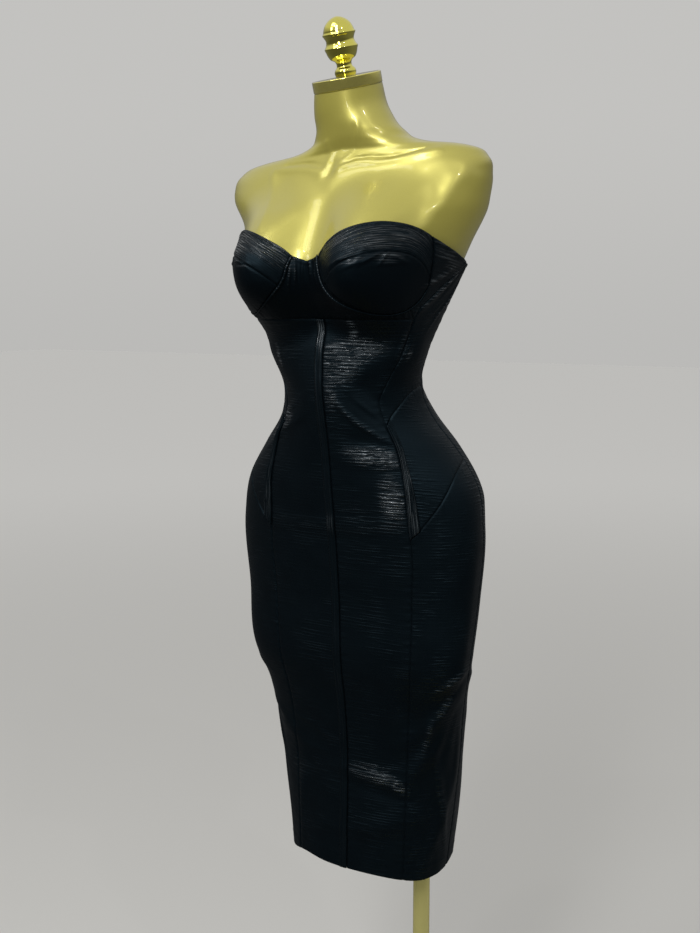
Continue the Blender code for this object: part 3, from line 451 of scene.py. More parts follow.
def clothLift(heights, turns, edges, lift):
    # how far the outer face stands from the body: wall and air, folds, seam valleys and bands.
    # An edge is its kind, every point's distance from it, and the grid's axis across it
    out = cloth["clear"] + lift + ridges(heights, turns, folds) + ridges(heights, turns, creases)
    dip = np.zeros_like(heights)
    for kind, distance, axis in edges:
        s = heights if axis == 0 else turnLength(turns)
        near = distance / cloth["puckerReach"]
        if kind == "seam":
            dip = np.maximum(dip, bell(distance, cloth["seamWidth"]))
            out += cloth["puckerDepth"] * near * np.exp(1 - near) * wander(s, 1.7 + 3 * axis)
        if kind == "neck":
            out += cloth["bandLift"] * smoothStep((cloth["bandWidth"] - distance) / cloth["bandStep"])
            out += cloth["neckPucker"] * cloth["puckerDepth"] * near * np.exp(1 - near) * wander(s, 0.4)
        if kind == "hem":
            out += cloth["hemLift"] * smoothStep((cloth["hemBand"] - distance) / cloth["bandStep"])
        if kind in ("neck", "hem"):
            out -= cloth["edgeRound"] * bell(distance, cloth["edgeLines"][1])
    uneven = 1 + cloth["seamUneven"] * wander(heights * 0.8 + turnLength(turns) * 0.6, 0.9)
    return out - cloth["seamDepth"] * dip * uneven, dip


# meshes
def addMesh(name, points, quads, triangles=None, uv=None, fields=None):
    # the mesh filled from whole arrays, with one value a point in each field
    mesh = bpy.data.meshes.new(name)
    triangles = np.zeros((0, 3), int) if triangles is None else triangles
    corners = np.concatenate([quads.ravel(), triangles.ravel()]).astype(np.int32)
    sizes = np.concatenate([np.full(len(quads), 4), np.full(len(triangles), 3)])
    mesh.vertices.add(len(points))
    mesh.vertices.foreach_set("co", np.asarray(points, np.float32).ravel())
    mesh.loops.add(len(corners))
    mesh.loops.foreach_set("vertex_index", corners)
    mesh.polygons.add(len(sizes))
    mesh.polygons.foreach_set("loop_start", runningLength(sizes)[:-1].astype(np.int32))
    mesh.update(calc_edges=True)
    if uv is not None:
        layer = mesh.uv_layers.new(name="cut")
        layer.data.foreach_set("uv", np.asarray(uv, np.float32)[corners].ravel())
    for label, values in (fields or {}).items():
        field = mesh.attributes.new(label, "FLOAT", "POINT")
        field.data.foreach_set("value", np.asarray(values, np.float32).ravel())
    mesh.shade_smooth()
    item = bpy.data.objects.new(name, mesh)
    bpy.context.scene.collection.objects.link(item)
    return item


def gridFaces(rows, columns, around=False):
    # faces between the grid's lines, turning the same way as column and row
    index = np.arange(rows * columns).reshape(rows, columns)
    if around:
        index = np.concatenate([index, index[:, :1]], axis=1)
    return np.stack([index[:-1, :-1], index[:-1, 1:], index[1:, 1:], index[1:, :-1]], axis=-1).reshape(-1, 4)


def closedFaces(rows, count):
    # a tube's faces, and a fan at each end to the two points that follow the rings
    ring, total = np.arange(count), rows * count
    last = total - count + ring
    fans = [np.stack([np.roll(ring, -1), ring, np.full(count, total)], axis=-1),
            np.stack([last, np.roll(last, -1), np.full(count, total + 1)], axis=-1)]
    return gridFaces(rows, count, around=True), np.concatenate(fans)


def ready(item, finish, nodes, wall=None):
    # finish, body, slot and the solids that the piece stands for
    item.data.materials.append(materials[finish])
    if wall:
        solid = item.modifiers.new("wall", "SOLIDIFY")
        solid.thickness = wall
        solid.offset = -1.0
    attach(item, "root")
    if nodes:
        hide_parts(*nodes)
    return item


def panelEdges(bottom, top):
    # finds each point's distance from a panel's edges; its sides are seams
    def find(points):
        across, up = reachFrom(points, 1), reachFrom(points, 0)
        return [("seam", across, 0), ("seam", across[:, -1:] - across, 0), (bottom, up, 1),
                (top, up[-1:] - up, 1)]
    return find


def clothGrid(grid, side, findEdges, offset, grain=0, arc=False):
    # outer face of a panel from its heights and turns; side -1 is its mirror image. The pattern
    # lies by turn and height, or along the grid's lines where it follows an arc
    heights, turns = grid[..., 0], grid[..., 1] * side
    base = bodySurface(heights, turns)
    edges = findEdges(base)
    heights = heights + hemShift(heights, turns)
    out, dip = clothLift(heights, turns, edges, cloth["wall"])
    along, rise = (reachFrom(base, 1), reachFrom(base, 0)) if arc else (turnLength(turns), heights)
    sine, cosine = math.sin(math.radians(grain) * side), math.cos(math.radians(grain) * side)
    uv = np.stack([along * cosine + rise * sine + offset[0],
                   rise * cosine - along * sine + offset[1] + cloth["patternShift"] * side], axis=-1)
    # the slack field places the painted highlight as well as the standing rib, and the seam field the painted
    # shade along the seams
    slack = sum(ridges(heights, turns, [spot for spot in slackSpots if spot[1] * half > 0], 2)
                * (turns * half >= 0) for half in (1, -1))
    return standOff(heights, turns, out), uv, {"slack": np.clip(slack, 0, 1), "seam": dip}


def declareSheet(points, spans=None):
    # the cut's width, the worn width less the stretch, which is all crosswise, and its length; they are
    # worked out but not used
    width, length = spans or (reachFrom(points, 1)[:, -1].max(), reachFrom(points, 0)[-1].max())
    width /= cloth["stretch"]


# materials
def newMaterial(name):
    material = bpy.data.materials.new(name)
    material.use_nodes = True
    return material, material.node_tree, material.node_tree.nodes["Principled BSDF"]


def feed(socket, value):
    # links a socket, or sets its number or colour
    if isinstance(value, bpy.types.NodeSocket):
        socket.id_data.links.new(value, socket)
    else:
        socket.default_value = (*value, 1.0) if socket.type == "RGBA" else value


def fill(node, **values):
    # feeds a node's inputs by name
    for label, value in values.items():
        feed(node.inputs[label.replace("_", " ")], value)
    return node


def newNode(tree, kind, **values):
    return fill(tree.nodes.new("ShaderNode" + kind), **values)


def mathNode(operation, *values):
    tree = next(value.id_data for value in values if isinstance(value, bpy.types.NodeSocket))
    node = newNode(tree, "Math")
    node.operation = operation
    for socket, value in zip(node.inputs, values):
        feed(socket, value)
    return node.outputs[0]


def times(first, second):
    return mathNode("MULTIPLY", first, second)


def plus(first, second):
    return mathNode("ADD", first, second)


def rangeNode(value, fromLow, fromHigh, toLow=0.0, toHigh=1.0, kind="SMOOTHSTEP"):
    # carries a value from one range to another and holds it there
    node = newNode(value.id_data, "MapRange", Value=value, From_Min=fromLow, From_Max=fromHigh,
                   To_Min=toLow, To_Max=toHigh)
    node.interpolation_type = kind
    return node.outputs["Result"]


def noiseNode(vector, **values):
    return newNode(vector.id_data, "TexNoise", Vector=vector, **values).outputs["Fac"]


def mixNode(factor, first, second, kind="RGBA"):
    # first + (second - first) * factor
    node = newNode(factor.id_data, "Mix")
    node.data_type = kind
    return fill(node, Factor=factor, A=first, B=second).outputs["Result"]


def attributeNode(tree, label):
    node = newNode(tree, "Attribute")
    node.attribute_name = label
    return node.outputs["Fac"]


def newGroup(name, inputs, outputs):
    # a node group that takes a vector and the named numbers, and puts out numbers
    group = bpy.data.node_groups.new(name, "ShaderNodeTree")
    group.interface.new_socket("Vector", in_out="INPUT", socket_type="NodeSocketVector")
    for label, value in inputs.items():
        made = group.interface.new_socket(label, in_out="INPUT", socket_type="NodeSocketFloat")
        made.default_value = value
    for label in outputs:
        group.interface.new_socket(label, in_out="OUTPUT", socket_type="NodeSocketFloat")
    return group, group.nodes.new("NodeGroupInput").outputs, group.nodes.new("NodeGroupOutput").inputs


def placed(tree, group, **values):
    node = newNode(tree, "Group")
    node.node_tree = group
    return fill(node, **values).outputs


ribShape = {
    # dashes, fine noise and the rows' sway: share of the rib's length and pitch, detail
    "layers": [(1.0, 1.0), (0.47, 1.0), (4.0, 0.0)],
    "layerApart": 3.1,
    "distortion": 0.2,
    "sway": 14.0,
    # where each fades in
    "rows": (-0.55, 0.65),
    "dashes": (0.40, 0.56),
    "fine": (0.42, 0.60),
    "patches": (0.44, 0.64),
    "patchScale": 17.0,
    "rowShare": 0.72,
    "fineShare": 0.28,
    # standing height: a little everywhere, more in patches, most where the cloth is slack
    "standing": 0.025,
    "patchStanding": 0.20,
    "slackStanding": 0.90,
    "maskStanding": 0.10,
}


def makeRibGroup():
    # broken crosswise rib: waving rows, a sine across them, cut into dashes by a noise drawn out
    # along the cloth, with a finer drawn-out noise between
    group, given, put = newGroup("crosswiseRib", {"Pitch": 0.0038, "Length": 0.02, "Slack": 0.0},
                                 ["Height", "Mask"])
    along, across, _ = newNode(group, "SeparateXYZ", Vector=given["Vector"]).outputs
    layers = []
    for share, detail in ribShape["layers"]:
        drawn = newNode(group, "CombineXYZ", X=mathNode("DIVIDE", along, times(given["Length"], share)),
                        Y=mathNode("DIVIDE", across, times(given["Pitch"], share)),
                        Z=ribShape["layerApart"] * share).outputs[0]
        layers.append(noiseNode(drawn, Scale=1.0, Detail=detail, Distortion=ribShape["distortion"]))
    turn = times(mathNode("DIVIDE", across, given["Pitch"]), math.tau)
    turn = plus(turn, times(layers[2], ribShape["sway"]))
    rows = rangeNode(mathNode("SINE", turn), *ribShape["rows"])
    dashes = rangeNode(layers[0], *ribShape["dashes"])
    fine = rangeNode(layers[1], *ribShape["fine"])
    patches = rangeNode(noiseNode(given["Vector"], Scale=ribShape["patchScale"], Detail=3.0),
                        *ribShape["patches"])
    both = plus(times(times(rows, dashes), ribShape["rowShare"]), times(fine, ribShape["fineShare"]))
    standing = plus(times(patches, ribShape["patchStanding"]), ribShape["standing"])
    standing = plus(standing, times(given["Slack"], ribShape["slackStanding"]))
    feed(put["Height"], times(both, standing))
    # the mask mixes the colour from the painted groove shade to the lighter crests, more where the cloth is
    # slack
    feed(put["Mask"], times(both, plus(standing, ribShape["maskStanding"])))
    return group


def makeMottleGroup():
    # slow and fine unevenness of a coated or plated surface, round a middle of one
    group, given, put = newGroup("fineMottle", {"Slow Scale": 14.0, "Fine Scale": 900.0, "Amount": 0.1},
                                 ["Value", "Grain"])
    slow = noiseNode(given["Vector"], Scale=given["Slow Scale"], Detail=4.0)
    fine = noiseNode(given["Vector"], Scale=given["Fine Scale"], Detail=1.0)
    feed(put["Value"], plus(times(times(mathNode("SUBTRACT", slow, 0.5), given["Amount"]), 2.0), 1.0))
    feed(put["Grain"], fine)
    return group


ribGroup = makeRibGroup()
mottleGroup = makeMottleGroup()


def makeCloth(name, look):
    # coated stretch cloth: near-black, with the rib in its height, roughness and colour, its grooves painted
    # darker as shade and its slack crests lightened as a painted highlight
    material, tree, shader = newMaterial(name)
    cut = newNode(tree, "UVMap")
    cut.uv_map = "cut"
    turned = newNode(tree, "Mapping", Vector=cut.outputs[0], Rotation=(0, 0, look["grainTurn"])).outputs[0]
    slack, seam = attributeNode(tree, "slack"), attributeNode(tree, "seam")
    rib = placed(tree, ribGroup, Vector=turned, Pitch=look["pitch"], Length=look["length"], Slack=slack)
    mottle = placed(tree, mottleGroup, Vector=turned, Slow_Scale=look["slowScale"],
                    Fine_Scale=look["fineScale"], Amount=look["mottle"])
    # painted shade along the seams: there the colour falls to the groove shade and the painted highlight is
    # taken out
    clearOfSeam = mathNode("SUBTRACT", 1.0, seam)
    height = plus(times(rib["Height"], clearOfSeam), times(mottle["Grain"], look["grainHeight"]))
    normal = newNode(tree, "Bump", Height=height, Distance=look["relief"]).outputs[0]
    crest = times(rib["Mask"], clearOfSeam)
    lit = times(crest, slack)
    # painted shade: the rib's grooves take a darker colour than its crests
    tone = mixNode(times(crest, mottle["Value"]), look["grooveShade"], look["crest"])
    rough = rangeNode(crest, 0.0, 1.0, look["roughGroove"], look["roughCrest"], "LINEAR")
    # painted highlight: where the cloth is slack its crests are lightened towards a pale colour
    fill(shader, Base_Color=mixNode(mathNode("POWER", lit, 2.0), tone, look["bright"]),
         Roughness=times(rough, mottle["Value"]), Normal=normal, Specular_IOR_Level=look["specular"],
         Specular_Tint=look["tint"], Coat_Weight=times(lit, look["coat"]), Coat_Normal=normal,
         Coat_Roughness=look["coatRoughness"], Coat_IOR=look["coatIor"])
    return material


def makeMetal(name, look):
    # paint or plate: a metallic colour that wanders a little, with fine grain under a clear coat
    material, tree, shader = newMaterial(name)
    mottle = placed(tree, mottleGroup, Vector=newNode(tree, "TexCoord").outputs["Object"],
                    Slow_Scale=look["slowScale"], Fine_Scale=look["fineScale"], Amount=look["mottle"])
    normal = newNode(tree, "Bump", Height=mottle["Grain"], Distance=look["relief"]).outputs[0]
    fill(shader, Base_Color=mixNode(times(mottle["Grain"], look["grainTone"]), look["shade"], look["colour"]),
         Roughness=times(mottle["Value"], look["roughness"]), Normal=normal, Metallic=look["metallic"],
         Coat_Weight=look["coat"], Coat_Roughness=look["coatRoughness"])
    return material


# the groove shade is painted shade in the rib's grooves, and the painted highlight is the pale colour that
# slack crests take
panelLook = {
    "pitch": 0.0039, "length": 0.036, "grainTurn": 0.0, "relief": 0.0017, "grainHeight": 0.015,
    "grooveShade": (0.0004, 0.0013, 0.0022), "crest": (0.0024, 0.0048, 0.007), "bright": (0.05, 0.064, 0.073),
    "tint": (0.46, 0.76, 0.96), "specular": 0.23, "roughGroove": 0.55, "roughCrest": 0.36,
    "coat": 1.0, "coatRoughness": 0.27, "coatIor": 1.8,
    "slowScale": 30.0, "fineScale": 2600.0, "mottle": 0.25,
}
cupLook = dict(panelLook, pitch=0.0026, relief=0.0018, bright=(0.07, 0.078, 0.078))
plainLook = dict(panelLook, pitch=0.0032, relief=0.0003, crest=(0.0008, 0.0018, 0.0028), coat=0.8,
                 specular=0.16)
# the tape's crests are painted lighter, as highlights on its ridges
tapeLook = dict(panelLook, pitch=0.0032, length=0.045, grainTurn=math.radians(90), relief=0.001,
                crest=(0.006, 0.009, 0.0115), bright=(0.07, 0.085, 0.094))
threadLook = dict(panelLook, relief=0.0001, coat=0.0)
paintLook = {
    "colour": (0.48, 0.43, 0.09), "shade": (0.41, 0.365, 0.07), "grainTone": 1.6, "roughness": 0.35,
    "metallic": 0.45, "coat": 0.5, "coatRoughness": 0.07, "relief": 0.00002, "slowScale": 9.0,
    "fineScale": 1800.0, "mottle": 0.1,
}
chromeLook = {
    "colour": (0.82, 0.74, 0.21), "shade": (0.72, 0.63, 0.14), "grainTone": 1.6, "roughness": 0.12,
    "metallic": 0.88, "coat": 0.3, "coatRoughness": 0.03, "relief": 0.000004, "slowScale": 30.0,
    "fineScale": 900.0, "mottle": 0.25,
}
polishLook = dict(chromeLook, colour=(0.86, 0.79, 0.16), shade=(0.74, 0.66, 0.1), metallic=1.0,
                  roughness=0.07)
satinLook = dict(chromeLook, roughness=0.36, coat=0.0)
poleLook = dict(chromeLook, colour=(0.86, 0.79, 0.3), shade=(0.78, 0.7, 0.22), metallic=0.55,
                roughness=0.16)
materials = {
    "panel": makeCloth("coatedCloth", panelLook),
    "cup": makeCloth("cupCloth", cupLook),
    "plain": makeCloth("plainCloth", plainLook),
    "tape": makeCloth("tapeCloth", tapeLook),
    "thread": makeCloth("blackThread", threadLook),
    "paint": makeMetal("goldPaint", paintLook),
    "chrome": makeMetal("goldChrome", chromeLook),
    "polish": makeMetal("goldPolish", polishLook),
    "satin": makeMetal("goldSatin", satinLook),
    "pole": makeMetal("goldPole", poleLook),
}
print("materials ready")

# the dress
lines = {name: seamLine(name) for name in seams}
lines["princessFront"] = seamLine("princessSkirt", "princessHip", "princessWaist")
lines["princessBodice"] = seamLine("princessWaist", "princessBust")
lines["sideAll"] = seamLine("sideSkirt", "sideHip", "sideBodice")
lines["cup"] = seamLine("cupInner", "cupBottom", "cupOuter")
lines["neck"] = seamLine("cupTop", "yokeTop", "backTop")
lines["cupInnerUpward"] = lines["cupInner"][::-1]
lines["skirtHem"] = np.array([seams["princessSkirt"][0], seams["sideSkirt"][0]])
lines["underarm"] = np.array([seams["princessBust"][-1], seams["sideBodice"][-1]])
sideNames = {1: "Left", -1: "Right"}

cradle = {
    # its outer line runs down the centre and out along the underbust seam; by a count along it,
    # the cup's inner line ends, the centre ends, the casing ends and the cradle ends
    "innerEnd": 3,
    "centreEnd": 6,
    "casingEnd": 7,
    "end": 12,
    "cupShare": 0.75,          # of the cup's bottom that it holds
    "sideTurn": 67.5,
    "casingShare": 0.11,       # of the side turn that the casing takes
    # length and step of the grid down the centre, along the seam and out to the cup
    "down": (0.066, 0.002),
    "along": (0.15, 0.0026),
    "outward": (0.024, 0.0016),
    "offset": (0.11, 0.4),
}
lowerCup = {"bottomSteps": 90, "topSteps": 80, "reach": 0.042, "offset": (0.31, 0.2)}
# size: rough width and height; steps: the grid's steps across and up as shares of the full ones;
# between: left, right, lower and upper line; offset and grain: the pattern's place and turn;
# edges: kinds of the lower and the upper edge
panels = {
    "frontPanel": dict(node="front_centre", size=(0.095, 0.74), steps=(1, 1), offset=(0, 0), grain=0,
                       edges=("hem", "seam")),
    "skirtSide": dict(node="skirt_side", size=(0.13, 0.5), steps=(1, 1), offset=(0.4, 0.1), grain=1.5,
                      between=("princessSkirt", "sideSkirt", "skirtHem", "lowerDiagonal"),
                      edges=("hem", "seam")),
    "hipInset": dict(node="hip_inset", size=(0.13, 0.13), steps=(1, 1), offset=(0.7, 0.5), grain=-4,
                     between=("princessHip", "sideHip", "lowerDiagonal", "upperDiagonal"),
                     edges=("seam", "seam")),
    "bodiceSide": dict(node="bodice_side", size=(0.09, 0.19), steps=(1, 1), offset=(0.9, 0.2), grain=3,
                       between=("princessBodice", "sideBodice", "upperDiagonal", "underarm"),
                       edges=("seam", "neck")),
    "backPanel": dict(node="back", size=(0.19, 0.8), steps=(1.1, 1.15), offset=(1.2, 0.3), grain=-9,
                      edges=("hem", "neck")),
    "sideYoke": dict(node="side_yoke", size=(0.055, 0.085), steps=(0.7, 0.7), offset=(1.5, 0.6), grain=-6,
                     edges=("seam", "neck")),
    "upperCup": dict(node="upper_cup", size=(0.15, 0.04), steps=(0.7, 0.6), offset=(1.8, 0.1), grain=0,
                     between=("cupInnerUpward", "cupOuter", "cupSeam", "cupTop"), edges=("seam", "neck")),
}


def nodeFor(node, side):
    return node + "_" + sideNames[side].lower()


def straight(first, last, shares):
    # first + (last - first) * share
    first, last = np.array(first, float), np.array(last, float)
    return first + (last - first) * np.asarray(shares)[:, None]


def ruledGrid(across, up, left, right, bottom, top):
    # patch between four named lines
    return patch(atShares(lines[bottom], across), atShares(lines[top], across),
                 atShares(lines[left], up), atShares(lines[right], up), across, up)


def frontGrid(across, up):
    # level lines from the centre front to the princess seam
    edge = atShares(lines["princessFront"], up)
    return np.stack([np.repeat(edge[:, :1], len(across), axis=1), edge[:, 1:] * across], axis=-1)


def backGrid(across, up):
    # from the side seam to the centre back
    left = atShares(lines["sideAll"], up)
    levels = (left[:, 0] - hemHeight) / (left[-1, 0] - hemHeight)
    right = straight((hemHeight, 180), (backTopHeight, 180), levels)
    bottom = straight((hemHeight, left[0, 1]), (hemHeight, 180), across)
    return patch(bottom, atShares(lines["backTop"], across), left, right, across, levels)


def yokeGrid(across, up):
    # left edge is the cup's outline from where the cradle ends
    inner, bottom, whole = (metricReach(lines[name])[-1] for name in ("cupInner", "cupBottom", "cup"))
    start = (inner + cradle["cupShare"] * bottom) / whole
    left, right = atShares(lines["cup"], start + (1 - start) * up), atShares(lines["princessBust"], up)
    return patch(straight(left[0], right[0], across), atShares(lines["yokeTop"], across), left, right,
                 across, up)


def cradleGrid():
    # ruled from the outer line to the cup's outline
    centre, inner, end = cradle["centreEnd"], cradle["innerEnd"], cradle["end"]
    first, second = spaced(*cradle["down"], True, False), spaced(*cradle["along"], False, True)
    t = np.concatenate([centre * first, centre + (end - centre) * second[1:]])
    wholeCup = (end - inner) / cradle["cupShare"]
    cupLine = np.where((t < inner)[:, None], atShares(lines["cupInner"], np.clip(t / inner, 0, 1)),
                       atShares(lines["cupBottom"], np.clip((t - inner) / wholeCup, 0, 1)))
    height = np.interp(t, [0, centre, end], [goreTopHeight, underbustHeight, underbustHeight])
    turn = np.interp(t, [0, centre, cradle["casingEnd"], end],
                     [0, 0, cradle["sideTurn"] * cradle["casingShare"], cradle["sideTurn"]])
    share = spaced(*cradle["outward"])[:, None, None]
    return np.stack([height, turn], axis=-1) * (1 - share) + cupLine * share


def cradleEdges(points):
    # cup outline on the last row, the neckline on the first column, the yoke on the last,
    # and the underbust seam along the level bottom
    across, up = reachFrom(points, 1), reachFrom(points, 0)
    return [("seam", up[-1:] - up, 1), ("neck", across, 1), ("seam", across[:, -1:] - across, 0),
            ("seam", np.clip(points[..., 2] - underbustHeight, 0, None), 1)]


def addPanel(name, panel, grid, side, finish):
    # outer face on the grid, thickened inwards, and its cut
    points, uv, fields = clothGrid(grid, side, panelEdges(*panel["edges"]), panel["offset"],
                                   panel["grain"], finish == "cup")
    quads = gridFaces(*grid.shape[:2])[:, ::side]
    item = addMesh(name, points.reshape(-1, 3), quads, uv=uv.reshape(-1, 2), fields=fields)
    declareSheet(points)
    return ready(item, finish, [nodeFor(panel["node"], side)], cloth["wall"])


def addLowerCup(side):
    # rings from the cup's closed outline in to its centre, which is one point
    bottom = atShares(lines["cupBottom"], np.linspace(0, 1, lowerCup["bottomSteps"]))
    top = atShares(lines["cupSeam"][::-1], np.linspace(0, 1, lowerCup["topSteps"]))[1:-1]
    loop = np.concatenate([bottom, top])
    shares = 1 - spaced(lowerCup["reach"], cloth["rowStep"], True, False)
    grid = cupCentre + (loop - cupCentre)[None] * shares[:, None, None]
    points, uv, fields = clothGrid(grid, side, lambda base: [("seam", reachFrom(base, 0), 1)],
                                   lowerCup["offset"])
    rows, count = grid.shape[:2]
    last = (rows - 2) * count + np.arange(count)
    triangles = np.stack([last, np.roll(last, -1), np.full(count, (rows - 1) * count)], axis=-1)
    total = (rows - 1) * count + 1
    item = addMesh("lowerCup" + sideNames[side], points.reshape(-1, 3)[:total],
                   gridFaces(rows - 1, count, around=True)[:, ::side], triangles[:, ::side],
                   uv.reshape(-1, 2)[:total],
                   {label: values.ravel()[:total] for label, values in fields.items()})
    toCentre = reachFrom(points, 0)[-1]
    spans = toCentre + np.roll(toCentre, count // 2)
    declareSheet(np.concatenate([points, points[:, :1]], axis=1),
                 (spans.max(), spans.min()))
    return ready(item, "plain", [nodeFor("lower_cup", side)], cloth["wall"])


def addCradle():
    # both halves in one mesh, welded down the centre
    grid = cradleGrid()
    halves = [clothGrid(grid, side, cradleEdges, cradle["offset"]) for side in (1, -1)]
    points = np.concatenate([half[0].reshape(-1, 3) for half in halves])
    _, first, inverse = np.unique(np.round(points, 7), axis=0, return_index=True, return_inverse=True)
    quads = gridFaces(*grid.shape[:2])
    quads = inverse.ravel()[np.concatenate([quads, quads[:, ::-1] + len(points) // 2])]
    uv = halves[0][1].reshape(-1, 2)
    uv = np.concatenate([uv, uv * np.array([-1, 1])])[first]
    fields = {label: np.concatenate([half[2][label].ravel() for half in halves])[first]
              for label in ("slack", "seam")}
    item = addMesh("goreCradle", points[first], quads, uv=uv, fields=fields)
    left, rise = halves[0][0], goreTopHeight - underbustHeight
    declareSheet(left, (2 * (reachFrom(left, 1)[0, -1] - rise), rise))
    return ready(item, "plain", ["gore_cradle"], cloth["wall"])


ownGrids = {"frontPanel": frontGrid, "backPanel": backGrid, "sideYoke": yokeGrid}
for kind, panel in panels.items():
    across = spaced(panel["size"][0], cloth["columnStep"] * panel["steps"][0])
    up = spaced(panel["size"][1], cloth["rowStep"] * panel["steps"][1])
    grid = ownGrids[kind](across, up) if kind in ownGrids else ruledGrid(across, up, *panel["between"])
    for side in (1, -1):
        addPanel(kind + sideNames[side], panel, grid, side, "cup" if kind == "upperCup" else "panel")
for side in (1, -1):
    addLowerCup(side)
addCradle()
print("panels ready")

tape = {
    "wall": 0.0006,
    "air": 0.0002,
    "columns": 21,
    "casingWidth": 0.011,
    "casingRows": 360,
    "hipWidth": 0.014,
    "hipTurn": 55.0,           # turn that the hip inset spans, nearly
    "hipRows": 80,
    "zipHalf": 0.006,
    "zipBottom": 0.72,
    "zipRows": 240,
    "zipStitches": 0.55,       # their place as a share of the flap's half width
    "ridgeHeight": 0.0004,     # the casing's and the flap's
    "hipRidgeHeight": 0.0011,
    "rimWidth": 0.001,
    "rimDrop": 0.0006,
    "slack": 0.06,
    "offset": 2.1,
    # where it is slack, and painted with a highlight: as the rows above
    "spots": [(1.172, -3, 0.02, 0.018, 0.9, 0, 0), (1.13, -3, 0.02, 0.045, 0.35, 0, 0),
              (0.938, -3, 0.02, 0.012, 0.6, 0, 0), (0.98, 38, 0.04, 0.062, 0.9, 0, 0),
              (0.98, -38, 0.04, 0.062, 0.5, 0, 0)],
}
tape["lift"] = cloth["wall"] + tape["air"] + tape["wall"]


def addTape(name, grid, side, node, ridgeCount, ridgeHeight):
    # a narrow strip lying on a panel, with soft ridges along it
    heights, turns = grid[..., 0], grid[..., 1] * side
    across = reachFrom(bodySurface(heights, turns), 1)
    share = across / across[:, -1:]
    out, _ = clothLift(heights, turns, [], tape["lift"])
    wave = 0.5 - 0.5 * np.cos(2 * math.pi * ridgeCount * share + 0.8 * wander(heights * 0.2, 2.0))
    out += ridgeHeight * wave * (0.8 + 0.3 * wander(heights * 0.35, 5.0))
    rim = bell(np.minimum(across, across[:, -1:] - across), tape["rimWidth"])
    out -= tape["rimDrop"] * rim
    heights = heights + hemShift(heights, turns)
    points = standOff(heights, turns, out)
    uv = np.stack([across + tape["offset"] + side, heights], axis=-1).reshape(-1, 2)
    slack = np.clip(tape["slack"] + ridges(heights, turns, tape["spots"], 2), 0, 1)
    # the tape's rims are marked as seam, so they take the painted groove shade
    item = addMesh(name, points.reshape(-1, 3), gridFaces(*grid.shape[:2])[:, ::side], uv=uv,
                   fields={"slack": slack, "seam": 0.8 * rim})
    declareSheet(points)
    return ready(item, "tape", [node], tape["wall"])


def stripGrid(heights, turns):
    # every height with every turn
    return np.stack(np.broadcast_arrays(heights[:, None], turns), axis=-1)


def turnAtOffset(heights, offset):
    # turn at which the section stands the given distance from the centre plane, near its front
    halfWidth, squareness = sectionAt(heights, 1, 5)
    return np.degrees(np.arcsin((offset / halfWidth) ** (squareness / 2)))


tapeAcross = np.linspace(0, 1, tape["columns"])
casingHeights = np.linspace(hemHeight, underbustHeight, tape["casingRows"])
casingGrid = stripGrid(casingHeights, turnAtOffset(casingHeights, tape["casingWidth"])[:, None] * tapeAcross)
addTape("centreCasing", casingGrid, -1, "centre_casing", 2, tape["ridgeHeight"])
hipAcross = np.append(tapeAcross * tape["hipWidth"] / turnLength(tape["hipTurn"]), 1)
hipGrid = ruledGrid(hipAcross, np.linspace(0, 1, tape["hipRows"]), "princessHip", "sideHip",
                    "lowerDiagonal", "upperDiagonal")[:, :-1]
for side in (1, -1):
    addTape("hipTape" + sideNames[side], hipGrid, side, nodeFor("hip_tape", side),
            4, tape["hipRidgeHeight"])
zipHeights = np.linspace(tape["zipBottom"], backTopHeight, tape["zipRows"])
zipTurn = math.degrees(tape["zipHalf"] / body["turnRadius"])
zipGrid = stripGrid(zipHeights, 180 + zipTurn * np.linspace(-1, 1, tape["columns"]))
addTape("zipFlap", zipGrid, 1, "back_zip_flap", 1, tape["ridgeHeight"])

edging = {
    "radius": 0.0017, "air": 0.0009, "sides": 12, "steps": 220, "uneven": 0.06,
    # slack along the roll's first part, fading out: it stands the rib up and paints a highlight
    "slack": 0.7, "slackTo": 0.4,
    # share of the cup's outline, radius and height as shares of the full ones
    "near": [(0, 0.5, 0.4), (0.04, 0.8, 0.8), (0.22, 0.9, 0.9), (0.36, 0.6, 0.45), (0.48, 0.4, 0.15),
             (0.85, 0.4, 0.1), (1, 0.35, 0.1)],
    "far": [(0, 0.5, 0.4), (0.05, 0.9, 0.8), (0.2, 0.8, 0.6), (0.32, 0.5, 0.2), (1, 0.4, 0.1)],
}


